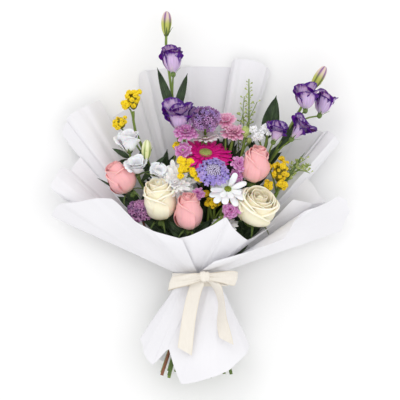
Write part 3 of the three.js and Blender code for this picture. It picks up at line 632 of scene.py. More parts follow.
def ring_of(model, seat, count, start, base, tilt, vary, turned=0.0):
    """Copies of a flat petal in a ring, each a little different."""
    made = []
    for i in range(count):
        angle = turned + (i + chance.uniform(-0.12, 0.12)) * 2 * math.pi / count
        lift = tilt + chance.uniform(-vary, vary)
        long = chance.uniform(1 - vary, 1 + vary)
        made.append(copy_of(model, (
            seat
            @ Matrix.Rotation(angle, 4, "Z")
            @ Matrix.Translation((0, start, base + chance.uniform(-0.3, 0.3)))
            @ Matrix.Rotation(lift, 4, "X")
            @ Matrix.Diagonal((1, long, 1, 1))
        )))
    return made


def standing_petal(seat, finish, profile, spread, drop, lean, ruffle, across, turned, tilt):
    """A wrapped petal stood on a bloom's axis and turned round it, a little varied."""
    model = wrapped_petal(finish, profile, spread, drop, lean, ruffle, across)
    angle = turned + chance.uniform(-TURN_SPREAD, TURN_SPREAD) * 2 * math.pi
    tall = chance.uniform(1 - HEIGHT_SPREAD, 1 + HEIGHT_SPREAD)
    made = copy_of(model, (
        seat
        @ Matrix.Rotation(angle, 4, "Z")
        @ Matrix.Rotation(tilt, 4, "X")
        @ Matrix.Diagonal((1, 1, tall, 1))
        @ Matrix.Rotation(math.pi / 2, 4, "X")
    ))
    retire(model)
    return made


def floret_place(seat, place, way, size, spread, rock=0.0):
    """Where a floret stands on its head: facing its way, spun, rocked and sized by chance."""
    spot = (
        seat @ Matrix.Translation(place) @ facing(way)
        @ Matrix.Rotation(chance.uniform(0, 6), 4, "Z")
    )
    if rock:
        spot = spot @ Matrix.Rotation(chance.uniform(-rock, rock), 4, "X")
    return spot @ Matrix.Scale(size * chance.uniform(*spread), 4)


def joined(name, pieces, node):
    """Joins the pieces into one, which stands for the node."""
    bpy.ops.object.select_all(action="DESELECT")
    for piece in pieces:
        piece.select_set(True)
    bpy.context.view_layer.objects.active = pieces[0]
    if len(pieces) > 1:
        bpy.ops.object.join()
    whole = bpy.context.object
    whole.name = name
    whole.data.name = name
    bpy.ops.object.shade_smooth_by_angle(angle=math.radians(SMOOTH_UNDER))
    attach(whole, BODY)
    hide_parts(node)
    return whole


# Lines through points

CURVED = 0.3


def curve_through(points):
    """A centripetal curve through points, as a function of a share of its spans."""
    points = [Vector(point) for point in points]
    points = [2 * points[0] - points[1], *points, 2 * points[-1] - points[-2]]
    spans = len(points) - 3

    def at(share):
        place = min(max(share, 0.0), 1.0) * spans
        i = min(int(place), spans - 1)
        w = place - i
        p0, p1, p2, p3 = points[i:i + 4]
        d0, d1, d2 = (
            max((b - a).length ** 0.5, 1e-4) for a, b in ((p0, p1), (p1, p2), (p2, p3))
        )
        leave = ((p1 - p0) / d0 - (p2 - p0) / (d0 + d1) + (p2 - p1) / d1) * d1
        arrive = ((p2 - p1) / d1 - (p3 - p1) / (d1 + d2) + (p3 - p2) / d2) * d1
        return (
            p1 + leave * w + (3 * (p2 - p1) - 2 * leave - arrive) * w ** 2
            + (2 * (p1 - p2) + leave + arrive) * w ** 3
        )
    return at


def line_through(points):
    """Mostly straight runs between points, with a little of the curve through them."""
    points = [Vector(point) for point in points]
    curve = curve_through(points)

    def at(share):
        place = min(max(share, 0.0), 1.0) * (len(points) - 1)
        i = min(int(place), len(points) - 2)
        return points[i].lerp(points[i + 1], place - i).lerp(curve(share), CURVED)
    return at


def mix(a, b, share):
    return a + (b - a) * share


def surface_piece(name, finish, across, lines, surface, thickness):
    """A sheet whose grid is laid on a surface of (share across, line), with a thin wall."""
    bpy.ops.object.select_all(action="DESELECT")
    bpy.ops.mesh.primitive_grid_add(
        x_subdivisions=across, y_subdivisions=len(lines) - 1, size=1
    )
    piece = bpy.context.object
    piece.name = name
    for vertex in piece.data.vertices:
        u = vertex.co.x + 0.5
        line = lines[round((vertex.co.y + 0.5) * (len(lines) - 1))]
        vertex.co = surface(u, line) * MM
    thicken(piece, thickness * MM)
    return paint(piece, finish)


# The paper wrap, gathered at the tie

TIE_Y = -136
TIE_Z = 58
TIE_HALF = 12
TIE_WIDEN = 1.12
TIE_FLATTEN = 0.95
FIRST_LAYER = 26.8
LAYER_STEP = 5.7
PAPER = 0.4
LOWEST = 0.45
HIGHEST = 150
GATHERS = 23
GATHER_REACH = 0.5
PLEAT_SWAY = 0.02
HEM_PLEATS = 0.35
ROLL = 1.6
RIM_RIPPLE = 1.1
ROWS_BELOW, ROWS_AT_TIE, ROWS_ABOVE = 16, 4, 38
COLUMNS_LARGE, COLUMNS_SMALL = 96, 60


def tie_point(degrees_round, layer, y):
    angle = math.radians(degrees_round)
    radius = FIRST_LAYER + layer * LAYER_STEP
    return Vector((
        radius * TIE_WIDEN * math.cos(angle), y, TIE_Z + radius * TIE_FLATTEN * math.sin(angle)
    ))


# Each sheet: its share of the turn in degrees, its layer at the tie, where its fall is spent, the
# points of its rim and hem, and its pleats, each with its middle, width and height
SHEETS = {
    "wrap_back": {
        "round": (232, 308), "layer": 2, "settle": 0.3,
        "rim": [(-151, 143, 0), (-126, 158, 0), (-107, 170, 0), (-104, 220, 0), (-60, 228, 0),
                (0, 231, 0), (54, 229, 0), (92, 216, 0)],
        "hem": [(-84, -268, 5), (-45, -288, 0), (0, -292, 0), (45, -290, 0), (76, -268, 6)],
        "pleats": [(0.3, 0.05, 3), (0.46, 0.022, 6), (0.65, 0.035, 7), (0.84, 0.06, 4)],
    },
    "wrap_back_right": {
        "round": (262, 298), "layer": 1, "settle": 0.5,
        "rim": [(55, 238, 8), (60, 243, 20), (85, 242, 27), (108, 235, 22), (121, 223, 12),
                (110, 214, 6)],
        "pleats": [(0.26, 0.08, 4), (0.72, 0.07, 4)],
    },
    "wrap_left_upper": {
        "round": (197, 238), "layer": 1, "settle": 1,
        "rim": [(-206, 72, 22), (-234, 106, 28), (-234, 126, 38), (-226, 144, 50),
                (-210, 154, 47), (-190, 165, 34), (-172, 173, 20)],
        "pleats": [(0.18, 0.06, 3), (0.42, 0.05, 6), (0.76, 0.08, -3)],
    },
    "wrap_left_side": {
        "round": (150, 191), "layer": 0, "settle": 1,
        "rim": [(-236, 4, 58), (-252, 20, 70), (-249, 42, 68), (-236, 55, 54), (-220, 51, 43),
                (-205, 74, 36)],
        "pleats": [(0.3, 0.07, 4), (0.62, 0.06, 4)],
    },
    "wrap_left_front": {
        "round": (96, 184), "layer": 2, "settle": 1,
        "rim": [(-30, -66, 144), (-76, -53, 146), (-110, -36, 140), (-128, -17, 132),
                (-150, 2, 122), (-178, 3, 108), (-207, -3, 92), (-240, -8, 72), (-252, -27, 52),
                (-238, -36, 38)],
        "hem": [(-40, -249, 91), (-56, -256, 91), (-80, -281, 86), (-97, -262, 78),
                (-102, -236, 60), (-92, -246, 34)],
        "pleats": [(0.14, 0.05, 3), (0.36, 0.04, 4), (0.56, 0.06, -3), (0.76, 0.05, 5)],
    },
    "wrap_front": {
        "round": (52, 116), "layer": 0, "settle": 1,
        "rim": [(128, -40, 104), (104, -56, 114), (80, -68, 126), (56, -48, 140), (44, -29, 146),
                (22, -42, 144), (-17, -60, 142), (-42, -66, 140)],
        "pleats": [(0.28, 0.05, 3), (0.55, 0.03, 4), (0.8, 0.05, -3)],
    },
    "wrap_right_front": {
        "round": (-6, 94), "layer": 1, "settle": 1,
        "rim": [(243, -53, 30), (252, -20, 44), (251, 0, 60), (240, 7, 76), (216, -5, 88),
                (176, -20, 100), (160, -36, 114), (142, -65, 136), (88, -85, 146),
                (24, -104, 128)],
        "hem": [(66, -262, 22), (82, -247, 48), (78, -262, 74), (52, -288, 94), (29, -298, 104),
                (-5, -309, 107), (-31, -313, 103), (-44, -284, 99), (-54, -250, 95)],
        "pleats": [(0.14, 0.05, 4), (0.34, 0.06, -3), (0.52, 0.04, 4), (0.74, 0.05, 3)],
    },
    "wrap_right_side": {
        "round": (-26, 10), "layer": 0, "settle": 1,
        "rim": [(184, 38, 38), (202, 16, 46), (215, -3, 56), (192, -6, 70), (160, 1, 78)],
        "pleats": [(0.4, 0.08, 4)],
    },
    "wrap_right_upper": {
        "round": (-56, -31), "layer": 1, "settle": 1,
        "rim": [(182, 133, 18), (210, 117, 30), (220, 118, 46), (234, 110, 50), (240, 99, 38),
                (214, 66, 24), (184, 34, 22)],
        "pleats": [(0.25, 0.06, 4), (0.6, 0.08, 5)],
    },
}


def wrap_surface(sheet):
    """The middle surface of a sheet: hem at -1, the tie from 0 to 1, rim at 2."""
    low_round, high_round = sheet["round"]
    rim = line_through(sheet["rim"])
    hem = line_through(sheet["hem"]) if "hem" in sheet else None
    behind = math.sin(math.radians((low_round + high_round) / 2)) < 0
    phase = len(sheet["rim"]) * 1.7

    def reach(start, end, share, settle):
        left = max(0.0, 1 - share / settle)
        return Vector((
            mix(start.x, end.x, share), mix(start.y, end.y, share),
            max(end.z + (start.z - end.z) * left ** 2, LOWEST),
        ))

    def bare(u, v):
        around = mix(low_round, high_round, u)
        if v >= 1:
            return reach(
                tie_point(around, sheet["layer"], TIE_Y + TIE_HALF), rim(u), v - 1,
                sheet["settle"],
            )
        if v >= 0 or hem is None:
            return tie_point(around, sheet["layer"], TIE_Y + TIE_HALF * (2 * v - 1))
        return reach(
            tie_point(around, sheet["layer"], TIE_Y - TIE_HALF), hem(u), -v, 1
        )

    def outward(u):
        angle = math.radians(mix(low_round, high_round, u))
        way = Vector((math.cos(angle) * 0.6, 0, math.sin(angle)))
        return -way.normalized() if behind else way.normalized()

    def surface(u, v):
        away = v - 1 if v > 1 else max(0.0, -v)
        point = bare(u, v)
        crowd = max(0.0, 1 - away / GATHER_REACH) * min(1.0, away * 6 + 0.25)
        lift = (math.sin(u * GATHERS + phase) + 0.6 * math.sin(u * GATHERS * 1.9 + 2)) * crowd
        for middle, width, height in sheet["pleats"]:
            sway = middle + PLEAT_SWAY * math.sin(3 * v + phase)
            off = (u - sway) / (width * mix(1.5, 1.0, min(1, away)))
            shape = math.exp(-(off * 0.9) ** 2) if off < 0 else max(0.0, 1 - off * 1.7)
            lift += height * shape * min(1.0, away * 1.3) * (HEM_PLEATS if v < 0 else 1.0)
        lift += ROLL * math.sin(7 * u + 5 * v + phase) * min(1.0, away)
        lift += RIM_RIPPLE * math.sin(19 * u + phase) * max(0.0, away - 0.75) * 4
        point += outward(u) * lift
        point.z = min(max(point.z, LOWEST), HIGHEST)
        return point
    return surface


def lines_between(first, last, count):
    return [mix(first, last, i / count) for i in range(count)]


for name, sheet in SHEETS.items():
    below = lines_between(-1, 0, ROWS_BELOW) if "hem" in sheet else []
    lines = [*below, *lines_between(0, 1, ROWS_AT_TIE), *lines_between(1, 2, ROWS_ABOVE), 2]
    columns = COLUMNS_LARGE if "hem" in sheet else COLUMNS_SMALL
    paper = surface_piece(
        name + "_paper", PAPER_WHITE, columns, lines, wrap_surface(sheet), PAPER
    )
    joined(name + "_paper", [paper], name)


# The ribbon: its turn round the tie, and the bow

BAND_RADIUS = 42.6
BAND_HEIGHT = 22
RIBBON = 0.5
RIBBON_WIDE = 24
BAND_OUTSIDE = 43.1
BOW_BACK = TIE_Z + BAND_OUTSIDE * TIE_FLATTEN + 0.35
KNOT = Vector((8, -130, BOW_BACK + 6.5))
KNOT_WIDE = 17
KNOT_DEEP = 11


def band_surface(u, line):
    angle = u * 2 * math.pi
    fold = 0.5 * math.cos(line * 9) + 0.35 * math.sin(angle * 5 + line * 3)
    radius = BAND_RADIUS + fold
    return Vector((
        radius * TIE_WIDEN * math.cos(angle), TIE_Y + BAND_HEIGHT * (line - 0.5),
        TIE_Z + radius * TIE_FLATTEN * math.sin(angle),
    ))


def loop_surface(end_x, centre_y, depth, droop, twist):
    """A loop from the knot out to its end and back over itself, drooping at its end."""
    outward = math.copysign(1, end_x - KNOT.x)
    line = curve_through([
        (KNOT.x + outward, centre_y * 0.2 + KNOT.y * 0.8, BOW_BACK + 3),
        (mix(KNOT.x, end_x, 0.3), mix(KNOT.y, centre_y, 0.5), BOW_BACK + 1.6),
        (mix(KNOT.x, end_x, 0.7), centre_y - droop * 0.5, BOW_BACK + 1.5),
        (end_x - outward * 2, centre_y - droop * 1.1, BOW_BACK + depth * 0.34),
        (end_x - outward, centre_y - droop, BOW_BACK + depth * 0.66),
        (mix(KNOT.x, end_x, 0.75), centre_y - droop * 0.3, BOW_BACK + depth * 0.98),
        (mix(KNOT.x, end_x, 0.38), mix(KNOT.y, centre_y, 0.5), BOW_BACK + depth),
        (KNOT.x + outward, KNOT.y, BOW_BACK + depth * 0.62),
    ])

    def surface(u, share):
        point = line(share)
        out = math.sin(math.pi * share) ** 0.7
        side = (u - 0.5) * RIBBON_WIDE * mix(0.36, 1.0, out)
        tip = math.sin(math.pi * share) ** 6
        point.y += side * math.cos(twist * tip)
        point.x -= outward * (abs(u - 0.5) * 3 * out + side * math.sin(twist * tip) * 0.6)
        point.z += math.cos(u * 3 * 2 * math.pi) * 1.7 * (1 - out)
        point.z += 2.0 * math.sin(u * 8 + share * 13 + end_x) * out
        point.y += 1.5 * math.sin(share * 15 + u * 2.5 + end_x) * out
        return point
    return surface


def tail_surface(points, twist, slant, curl=0.0):
    """A tail that hangs from the knot, twisted along its middle and cut on a slant."""
    line = curve_through(points)

    def surface(u, share):
        point = line(share)
        angle = twist * math.sin(math.pi * share)
        side = (u - 0.5) * RIBBON_WIDE * mix(0.45, 1.0, min(1.0, share * 4))
        point.x += side * math.cos(angle)
        point.z += side * math.sin(angle) + 1.6 * math.sin(share * 8 + u * 2)
        point.z += math.cos(u * 2 * 2 * math.pi) * 1.2 * max(0.0, 1 - share * 4)
        point.z += curl * (2 * u - 1) ** 2
        point.y -= slant * (u - 0.5) * max(0.0, share - 0.8) / 0.2
        return point
    return surface


def knot_piece():
    """A tight turn of ribbon: a rounded block with folds drawn in round its waist."""
    bpy.ops.object.select_all(action="DESELECT")
    bpy.ops.mesh.primitive_cube_add(size=1)
    piece = bpy.context.object
    bpy.ops.object.mode_set(mode="EDIT")
    bpy.ops.mesh.subdivide(number_cuts=9)
    bpy.ops.transform.tosphere(value=0.55)
    resize(x=KNOT_WIDE, y=KNOT_WIDE, z=KNOT_DEEP)
    shape = bmesh.from_edit_mesh(piece.data)
    for fold, depth, slip in ((-0.32, 0.84, 0.6), (-0.02, 0.87, -0.8), (0.3, 0.84, 0.5)):
        for vertex in shape.verts:
            lean = vertex.co.y * 0.012
            vertex.select = abs(vertex.co.x / KNOT_WIDE - fold - lean) < 0.06
        shape.select_flush_mode()
        bmesh.update_edit_mesh(piece.data)
        resize(y=depth, z=depth)
        move(y=slip)
    leave_edit()
    refine(piece)
    piece.data.transform(Matrix.Translation(KNOT * MM) @ Matrix.Scale(MM, 4))
    return paint(piece, SATIN)


TAIL_LEFT = [(2, -132, 103), (-7, -150, 107), (-17, -190, 109.5), (-26, -257, 111.5)]
TAIL_RIGHT = [
    (14, -132, 104), (28, -146, 109), (36, -172, 112), (38, -205, 110), (45, -240, 107),
]
COARSE = [i / 16 for i in range(17)]
FINE = [i / 44 for i in range(45)]

# Each run: its node, columns, lines, surface, flat width and length, and how it is held
RIBBON_PIECES = {
    "ribbon_turn": ("ribbon_band", 96, COARSE, band_surface, BAND_HEIGHT, 278, "stretched"),
    "ribbon_loop_left": (
        "ribbon_bow", 14, FINE, loop_surface(-53, -137, 14, 5, 0.5), RIBBON_WIDE, 118, "folded",
    ),
    "ribbon_loop_right": (
        "ribbon_bow", 14, FINE, loop_surface(64, -132, 13, 1, -0.35), RIBBON_WIDE, 118, "folded",
    ),
    "ribbon_tail_left": (
        "ribbon_bow", 12, FINE, tail_surface(TAIL_LEFT, 0.25, 14), RIBBON_WIDE, 134, "hung",
    ),
    "ribbon_tail_right": (
        "ribbon_bow", 12, FINE, tail_surface(TAIL_RIGHT, 1.1, 12, -1.5), RIBBON_WIDE, 118, "hung",
    ),
}
for name, (node, across, lines, surface, wide, long, held) in RIBBON_PIECES.items():
    piece = joined(
        name, [surface_piece(name, SATIN, across, lines, surface, RIBBON)], node
    )
    wide * MM
    long * MM
joined("ribbon_knot", [knot_piece()], "ribbon_bow")


# Stems, read from the frame where they pass the tie, and branches

SECTION = 6 * MM
STEM_RADIUS = 2.7
RAY_STEM_TOP = STEM_RADIUS * 0.9
SLIM_STEM_TOP = 2.2
BRANCH_ROOT_RADIUS = 1.5 * 1.15
BRANCH_TIP_RADIUS = 1.5 * 0.85
BRANCH_BEND = 6
NECK = 24
CORNER = 9
CORNER_SHARE = 0.4
CUT_FACE_REACH = 0.4


def section(node, y):
    """The middle of a stem where it passes a level, read from its node."""
    near = [v.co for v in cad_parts[node].data.vertices if abs(v.co.y - y) < SECTION]
    low = Vector([min(co[i] for co in near) for i in range(3)])
    high = Vector([max(co[i] for co in near) for i in range(3)])
    return (low + high) / 2 / MM


def stem_stations(node, at, axis, via=None):
    at = Vector(at)
    way = Vector(axis).normalized()
    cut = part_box(node)[0].y
    stations = [
        section(node, cut),
        section(node, (TIE_Y - TIE_HALF) * MM),
        section(node, (TIE_Y + TIE_HALF) * MM),
    ]
    if via:
        stations.append(Vector(via))
    return [*stations, at - way * NECK, at]


def on_stem(stations, share):
    lengths = [(b - a).length for a, b in zip(stations, stations[1:])]
    left = share * sum(lengths)
    i = 0
    while i < len(lengths) - 1 and left > lengths[i]:
        left -= lengths[i]
        i += 1
    return stations[i].lerp(stations[i + 1], left / lengths[i])


def eased(stations):
    """The stations with each corner taken over by two points close before and after it."""
    made = [stations[0]]
    for before, here, after in zip(stations, stations[1:], stations[2:]):
        for other in (before, after):
            step = other - here
            made.append(here + step * min(CORNER_SHARE, CORNER / step.length))
    return [*made, stations[-1]]


def stalk(name, finish, stations, radii, cut=False):
    """A round stalk drawn as a path with a round section, then made a mesh."""
    bpy.ops.object.select_all(action="DESELECT")
    bpy.ops.curve.primitive_nurbs_path_add()
    path = bpy.context.object
    path.name = name
    line = path.data
    line.splines.clear()
    points = eased(stations)
    spline = line.splines.new("POLY")
    spline.points.add(len(points) - 1)
    total = len(points) - 1
    for i, (place, point) in enumerate(zip(points, spline.points)):
        point.co = (*(place * MM), 1)
        point.radius = mix(radii[0], radii[1], i / total)
    line.dimensions = "3D"
    line.bevel_depth = MM
    line.bevel_resolution = 2
    line.use_fill_caps = True
    bpy.ops.object.convert(target="MESH")
    piece = bpy.context.object
    paint(piece, finish)
    if cut:
        piece.data.materials.append(CUT)
        for face in piece.data.polygons:
            if (face.center - stations[0] * MM).length < CUT_FACE_REACH * MM:
                face.material_index = 1
    return piece


def main_stem(stations, top_radius, finish=STEM):
    return stalk("stem", finish, stations, (STEM_RADIUS, top_radius), cut=True)


def branch(stations, share, tip, finish=STEM):
    root, tip = on_stem(stations, share), Vector(tip)
    middle = root.lerp(tip, 0.5) + Vector((0, BRANCH_BEND, 0))
    return stalk("branch", finish, [root, middle, tip], (BRANCH_ROOT_RADIUS, BRANCH_TIP_RADIUS))


# Leaves

LANCE = (0.12, 0.5, 0.85, 1.0, 0.97, 0.84, 0.62, 0.36, 0.06)
OVATE = (0.1, 0.62, 0.94, 1.0, 0.93, 0.78, 0.56, 0.3, 0.05)
LEAF_THICKNESS = 0.45
LEAF_KEEL = 0.16
LEAF_RUFFLE = 0.02
LEAF_WAVE = 0.04
LEAF_ARCH = 6
FULL_ARCH_LENGTH = 60
LEAF_LOWEST = 8


def leaf(finish, root, tip, width, outline, face=(0, 0.2, 1)):
    """A leaf from its root to its tip, keeled along its middle and arched."""
    root, tip = Vector(root), Vector(tip)
    along = tip - root
    made = flat_petal(
        "leaf", finish, along.length, width, outline, cup=width * LEAF_KEEL,
        ruffle=width * LEAF_RUFFLE, thickness=LEAF_THICKNESS,
    )
    side = along.cross(Vector(face)).normalized()
    lift = side.cross(along).normalized()
    arch = LEAF_ARCH * min(1.0, along.length / FULL_ARCH_LENGTH)
    for vertex in made.data.vertices:
        share = vertex.co.y / along.length
        vertex.co.z += arch * math.sin(math.pi * min(1.0, max(0.0, share)))
        vertex.co.z += width * LEAF_WAVE * math.sin(share * 14 + vertex.co.x)
    turned = Matrix.Identity(4)
    for i, way in enumerate((side, along.normalized(), lift)):
        turned.col[i][:3] = way
    made.data.transform(Matrix.Scale(MM, 4) @ Matrix.Translation(root) @ turned)
    return made


def leaves_on(stations, leaves, finish=LEAF, outline=LANCE):
    """Leaves drawn one by one, each from a share of the stem's length to its tip."""
    return [
        leaf(finish, on_stem(stations, share), tip, width, outline)
        for share, tip, width in leaves
    ]


def leaf_fan(stations, first, last, count, long, width, turned):
    """Leaves that stand out round a stem between two shares of its length."""
    made = []
    for i in range(count):
        share = mix(first, last, i / (count - 1))
        root = on_stem(stations, share)
        along = (on_stem(stations, min(1.0, share + 0.05)) - root).normalized()
        angle = turned + i * GOLDEN_ANGLE
        out = Vector((math.cos(angle), 0.35 * abs(math.sin(angle)), 0.3 * math.sin(angle)))
        way = along * 0.75 + out
        tip = root + way.normalized() * long * chance.uniform(0.8, 1.15)
        tip.z = max(tip.z, LEAF_LOWEST)
        face = (chance.uniform(-0.4, 0.4), chance.uniform(-0.2, 0.5), 1)
        made.append(leaf(LEAF, root, tip, width * chance.uniform(0.85, 1.1), OVATE, face))
    return made


# Rose heads: cups of overlapping petals round a furled heart

ROSES = {
    "rose_pink_left": {"at": (-120, 15, 80), "axis": (-0.55, 0.8, 0.25), "radius": 24,
                       "height": 62, "open": 0.2, "finish": ROSE_PINK, "slot": "petal_rose_pink",
                       "leaves": [(0.93, (-176, 38, 84), 6)]},
    "rose_pink_front": {"at": (-18, -48, 106), "axis": (-0.03, 0.88, 0.42), "radius": 25,
                        "height": 68, "open": 0.1, "finish": ROSE_PINK, "slot": "petal_rose_pink"},
    "rose_pink_right": {"at": (88, 32, 84), "axis": (0.22, 0.9, 0.35), "radius": 25,
                        "height": 67, "open": 0.15, "finish": ROSE_PINK, "slot": "petal_rose_pink"},
    "rose_cream_left": {"at": (-66, -31, 92), "axis": (-0.1, 0.9, 0.42), "radius": 29,
                        "height": 75, "open": 0.42, "finish": ROSE_CREAM, "slot": "petal_cream"},
    "rose_cream_right": {"at": (88, -32, 88), "axis": (0.3, 0.74, 0.6), "radius": 36,
                         "height": 61, "open": 0.5, "finish": ROSE_CREAM, "slot": "petal_cream"},
}

# Each cup: petals, share of the head's radius, share of its height, overlap, outward lip
ROSE_CUPS = [
    (4, 1.0, 0.84, 1.45, 1.3),
    (3, 0.93, 0.98, 1.8, 0.8),
    (3, 0.79, 1.05, 1.95, 0.4),
    (3, 0.6, 1.08, 2.0, 0.2),
    (2, 0.4, 1.09, 2.4, 0.05),
    (2, 0.22, 1.1, 1.7, 0.0),
]
SEPAL_OUTLINE = (0.9, 1.0, 0.86, 0.62, 0.38, 0.2, 0.05)


def rose_petals(spec):
    radius, height, opened = spec["radius"], spec["height"], spec["open"]
    seat = set_on(spec["at"], spec["axis"])
    top = height * mix(0.9, 0.78, opened)
    lip = radius * mix(0.62, 1.04, opened)
    petals = []
    for i, (count, wide, tall, overlap, flare) in enumerate(ROSE_CUPS):
        shoulder = radius * 0.97 * wide
        mouth = lip * wide
        peak = top * tall
        curl = radius * (0.055 + 0.07 * opened) * flare
        profile = [
            (max(2.0, 6.5 * wide), 1.0 + i * 0.5),
            (shoulder * 0.62, peak * 0.09 + i),
            (shoulder * 0.86, peak * 0.22 + i),
            (shoulder * 0.97, peak * 0.38),
            (shoulder, peak * 0.54),
            (mix(shoulder, mouth, 0.3), peak * 0.7),
            (mix(shoulder, mouth, 0.7), peak * 0.85),
            (mouth + curl * 0.15, peak * 0.95),
            (mouth + curl * 0.9, peak),
            (mouth + curl * 1.7, peak * (0.985 - 0.03 * flare)),
        ]
        for j in range(count):
            petals.append(standing_petal(
                seat, spec["finish"], profile, overlap * math.pi / 3,
                drop=peak * chance.uniform(0.26, 0.5), lean=chance.uniform(0.08, 0.14),
                ruffle=chance.uniform(0.006, 0.035), across=8,
                turned=(i * 3 + j) * GOLDEN_ANGLE + radius, tilt=chance.uniform(-0.04, 0.03),
            ))
    return petals


def green_cup(at, axis, radius, sepals):
    """The calyx under a bloom and its sepals."""
    seat = set_on(at, axis)
    cup = ball("calyx", CALYX, radius * 0.72, 15, foot=-14)
    made = [copy_of(cup, seat)]
    sepal = flat_petal(
        "sepal", SEPAL, radius * 1.05, 6.5, SEPAL_OUTLINE, cup=1.2, curl=-60.0, thickness=0.5
    )
    made += ring_of(sepal, seat, sepals, 3, -1.2, -0.1, 0.2, turned=0.3)
    retire(cup, sepal)
    return made


for name, spec in ROSES.items():
    joined(name + "_bloom", rose_petals(spec), name + "_petals")
    stations = stem_stations(name + "_stem", spec["at"], spec["axis"])
    green = [main_stem(stations, STEM_RADIUS, STEM_DARK)]
    green += green_cup(spec["at"], spec["axis"], spec["radius"], 5)
    green += leaf_fan(stations, 0.74, 0.94, 11, 48, 19, spec["at"][0])
    green += leaves_on(stations, spec.get("leaves", []))
    joined(name + "_green", green, name + "_stem")


# Rayed blooms: rings of petals round a disc of florets

STRAP = (0.5, 0.68, 0.84, 0.95, 1.0, 0.9, 0.5)
OVAL = (0.3, 0.6, 0.88, 1.0, 0.97, 0.8, 0.4)
BROAD = (0.4, 0.62, 0.84, 0.97, 1.0, 0.97, 0.72)
FAN = (0.25, 0.42, 0.6, 0.8, 0.97, 1.06, 0.98)
FLORET_POINTS = 5

# A ring of petals: how many, their length and width, how far out and how high they start, and how
# much they rise, then their cup, curl and ruffle, their columns, and how much they vary
Ring = namedtuple(
    "Ring", "count length width start base tilt cup curl ruffle across vary",
    defaults=(1.0, -18.0, 0.0, 4, 0.06),
)


def star_floret(name, finish, depth, waist, blunt=False):
    """A tiny closed star along +Z, of a few dozen faces."""
    step = 3 if blunt else 2
    bpy.ops.object.select_all(action="DESELECT")
    bpy.ops.mesh.primitive_circle_add(vertices=FLORET_POINTS * step, radius=1, fill_type="TRIFAN")
    piece = bpy.context.object
    piece.name = name
    bpy.ops.object.mode_set(mode="EDIT")
    shape = bmesh.from_edit_mesh(piece.data)
    shape.verts.ensure_lookup_table()
    rim = [v.index for v in shape.verts if v.co.length > 0.5]
    choose(piece, rim)
    move(z=0.35)
    choose(piece, rim[::step])
    resize(x=waist, y=waist, centre=(0, 0, 0.35))
    bpy.ops.mesh.select_all(action="SELECT")
    bpy.ops.mesh.extrude_region_move(TRANSFORM_OT_translate={"value": (0, 0, -depth)})
    bpy.ops.transform.resize(value=(0.25, 0.25, 1), center_override=(0, 0, -depth))
    bpy.ops.mesh.select_all(action="SELECT")
    bpy.ops.mesh.normals_make_consistent(inside=False)
    leave_edit()
    return paint(piece, finish)


def stamens(seat, count, radius, base, height):
    """Thin pins with round heads, standing out of a dome of florets."""
    bpy.ops.object.select_all(action="DESELECT")
    bpy.ops.mesh.primitive_cylinder_add(vertices=5, radius=0.22, depth=1, location=(0, 0, 0.5))
    pin = bpy.context.object
    bpy.ops.object.mode_set(mode="EDIT")
    shape = bmesh.from_edit_mesh(pin.data)
    top = [face for face in shape.faces if face.normal.z > 0.9]
    bpy.ops.mesh.select_all(action="DESELECT")
    for face in top:
        face.select = True
    bpy.ops.mesh.extrude_region_move(TRANSFORM_OT_translate={"value": (0, 0, 0.12)})
    resize(x=2.6, y=2.6)
    bpy.ops.mesh.extrude_region_move(TRANSFORM_OT_translate={"value": (0, 0, 0.12)})
    resize(x=0.5, y=0.5)
    leave_edit()
    pin.data.transform(Matrix.Diagonal((1, 1, height, 1)))
    paint(pin, PIN)
    made = spiral_of(pin, seat, count, radius, base, base + 2.5, 1.0)
    retire(pin)
    return made


def spiral_of(model, seat, count, radius, low, high, size):
    """Florets on a domed disc from its middle outwards."""
    made = []
    for i in range(count):
        share = math.sqrt((i + 0.5) / count)
        angle = i * GOLDEN_ANGLE
        out = radius * share
        place = (out * math.cos(angle), out * math.sin(angle), mix(high, low, share ** 2))
        way = Vector((math.cos(angle) * share * 0.8, math.sin(angle) * share * 0.8, 1))
        made.append(copy_of(model, floret_place(seat, place, way, size, EVEN_SIZES)))
    return made


def floret_rings(model, seat, rings):
    """Rings of florets, each with its count, radius, height, size and outward lean."""
    made = []
    for i, (count, radius, height, size, lean) in enumerate(rings):
        for j in range(count):
            angle = (j + 0.5 * (i % 2) + chance.uniform(-0.25, 0.25)) * 2 * math.pi / count
            out = radius * chance.uniform(0.92, 1.08)
            place = (out * math.cos(angle), out * math.sin(angle), height + chance.uniform(-1, 1))
            way = Vector((math.cos(angle) * lean, math.sin(angle) * lean, 1))
            spot = floret_place(seat, place, way, size, EVEN_SIZES, 0.35)
            made.append(copy_of(model, spot))
    return made


def disc_of(seat, radius, height, base, finish, count, size):
    """A low domed disc, covered with so many florets of a size."""
    body = ball("disc", finish, radius * 2, height * 1.5, 20, 10, foot=base - height * 0.5)
    floret = star_floret("disc_floret", finish, 1.2, 0.55)
    made = [copy_of(body, seat)]
    made += spiral_of(floret, seat, count, radius * 0.95, base + height * 0.35, base + height, size)
    retire(body, floret)
    return made


def petal_rings(seat, finish, outline, rings):
    """Rings of petals of one outline, from the outermost in."""
    made = []
    for i, ring in enumerate(rings):
        petal = flat_petal(
            "ray", finish, ring.length, ring.width, outline, ring.cup, ring.curl, ring.ruffle,
            ring.across,
        )
        made += ring_of(
            petal, seat, ring.count, ring.start, ring.base, ring.tilt, ring.vary, turned=i * 0.37
        )
        retire(petal)
    return made


def green_of(name, at, axis, radius):
    """The stem, calyx and sepals under a rayed bloom, as a piece of their own."""
    stations = stem_stations(name + "_stem", at, axis)
    green = [main_stem(stations, RAY_STEM_TOP)]
    green += green_cup(at, axis, radius, 8)
    joined(name + "_green", green, name + "_stem")


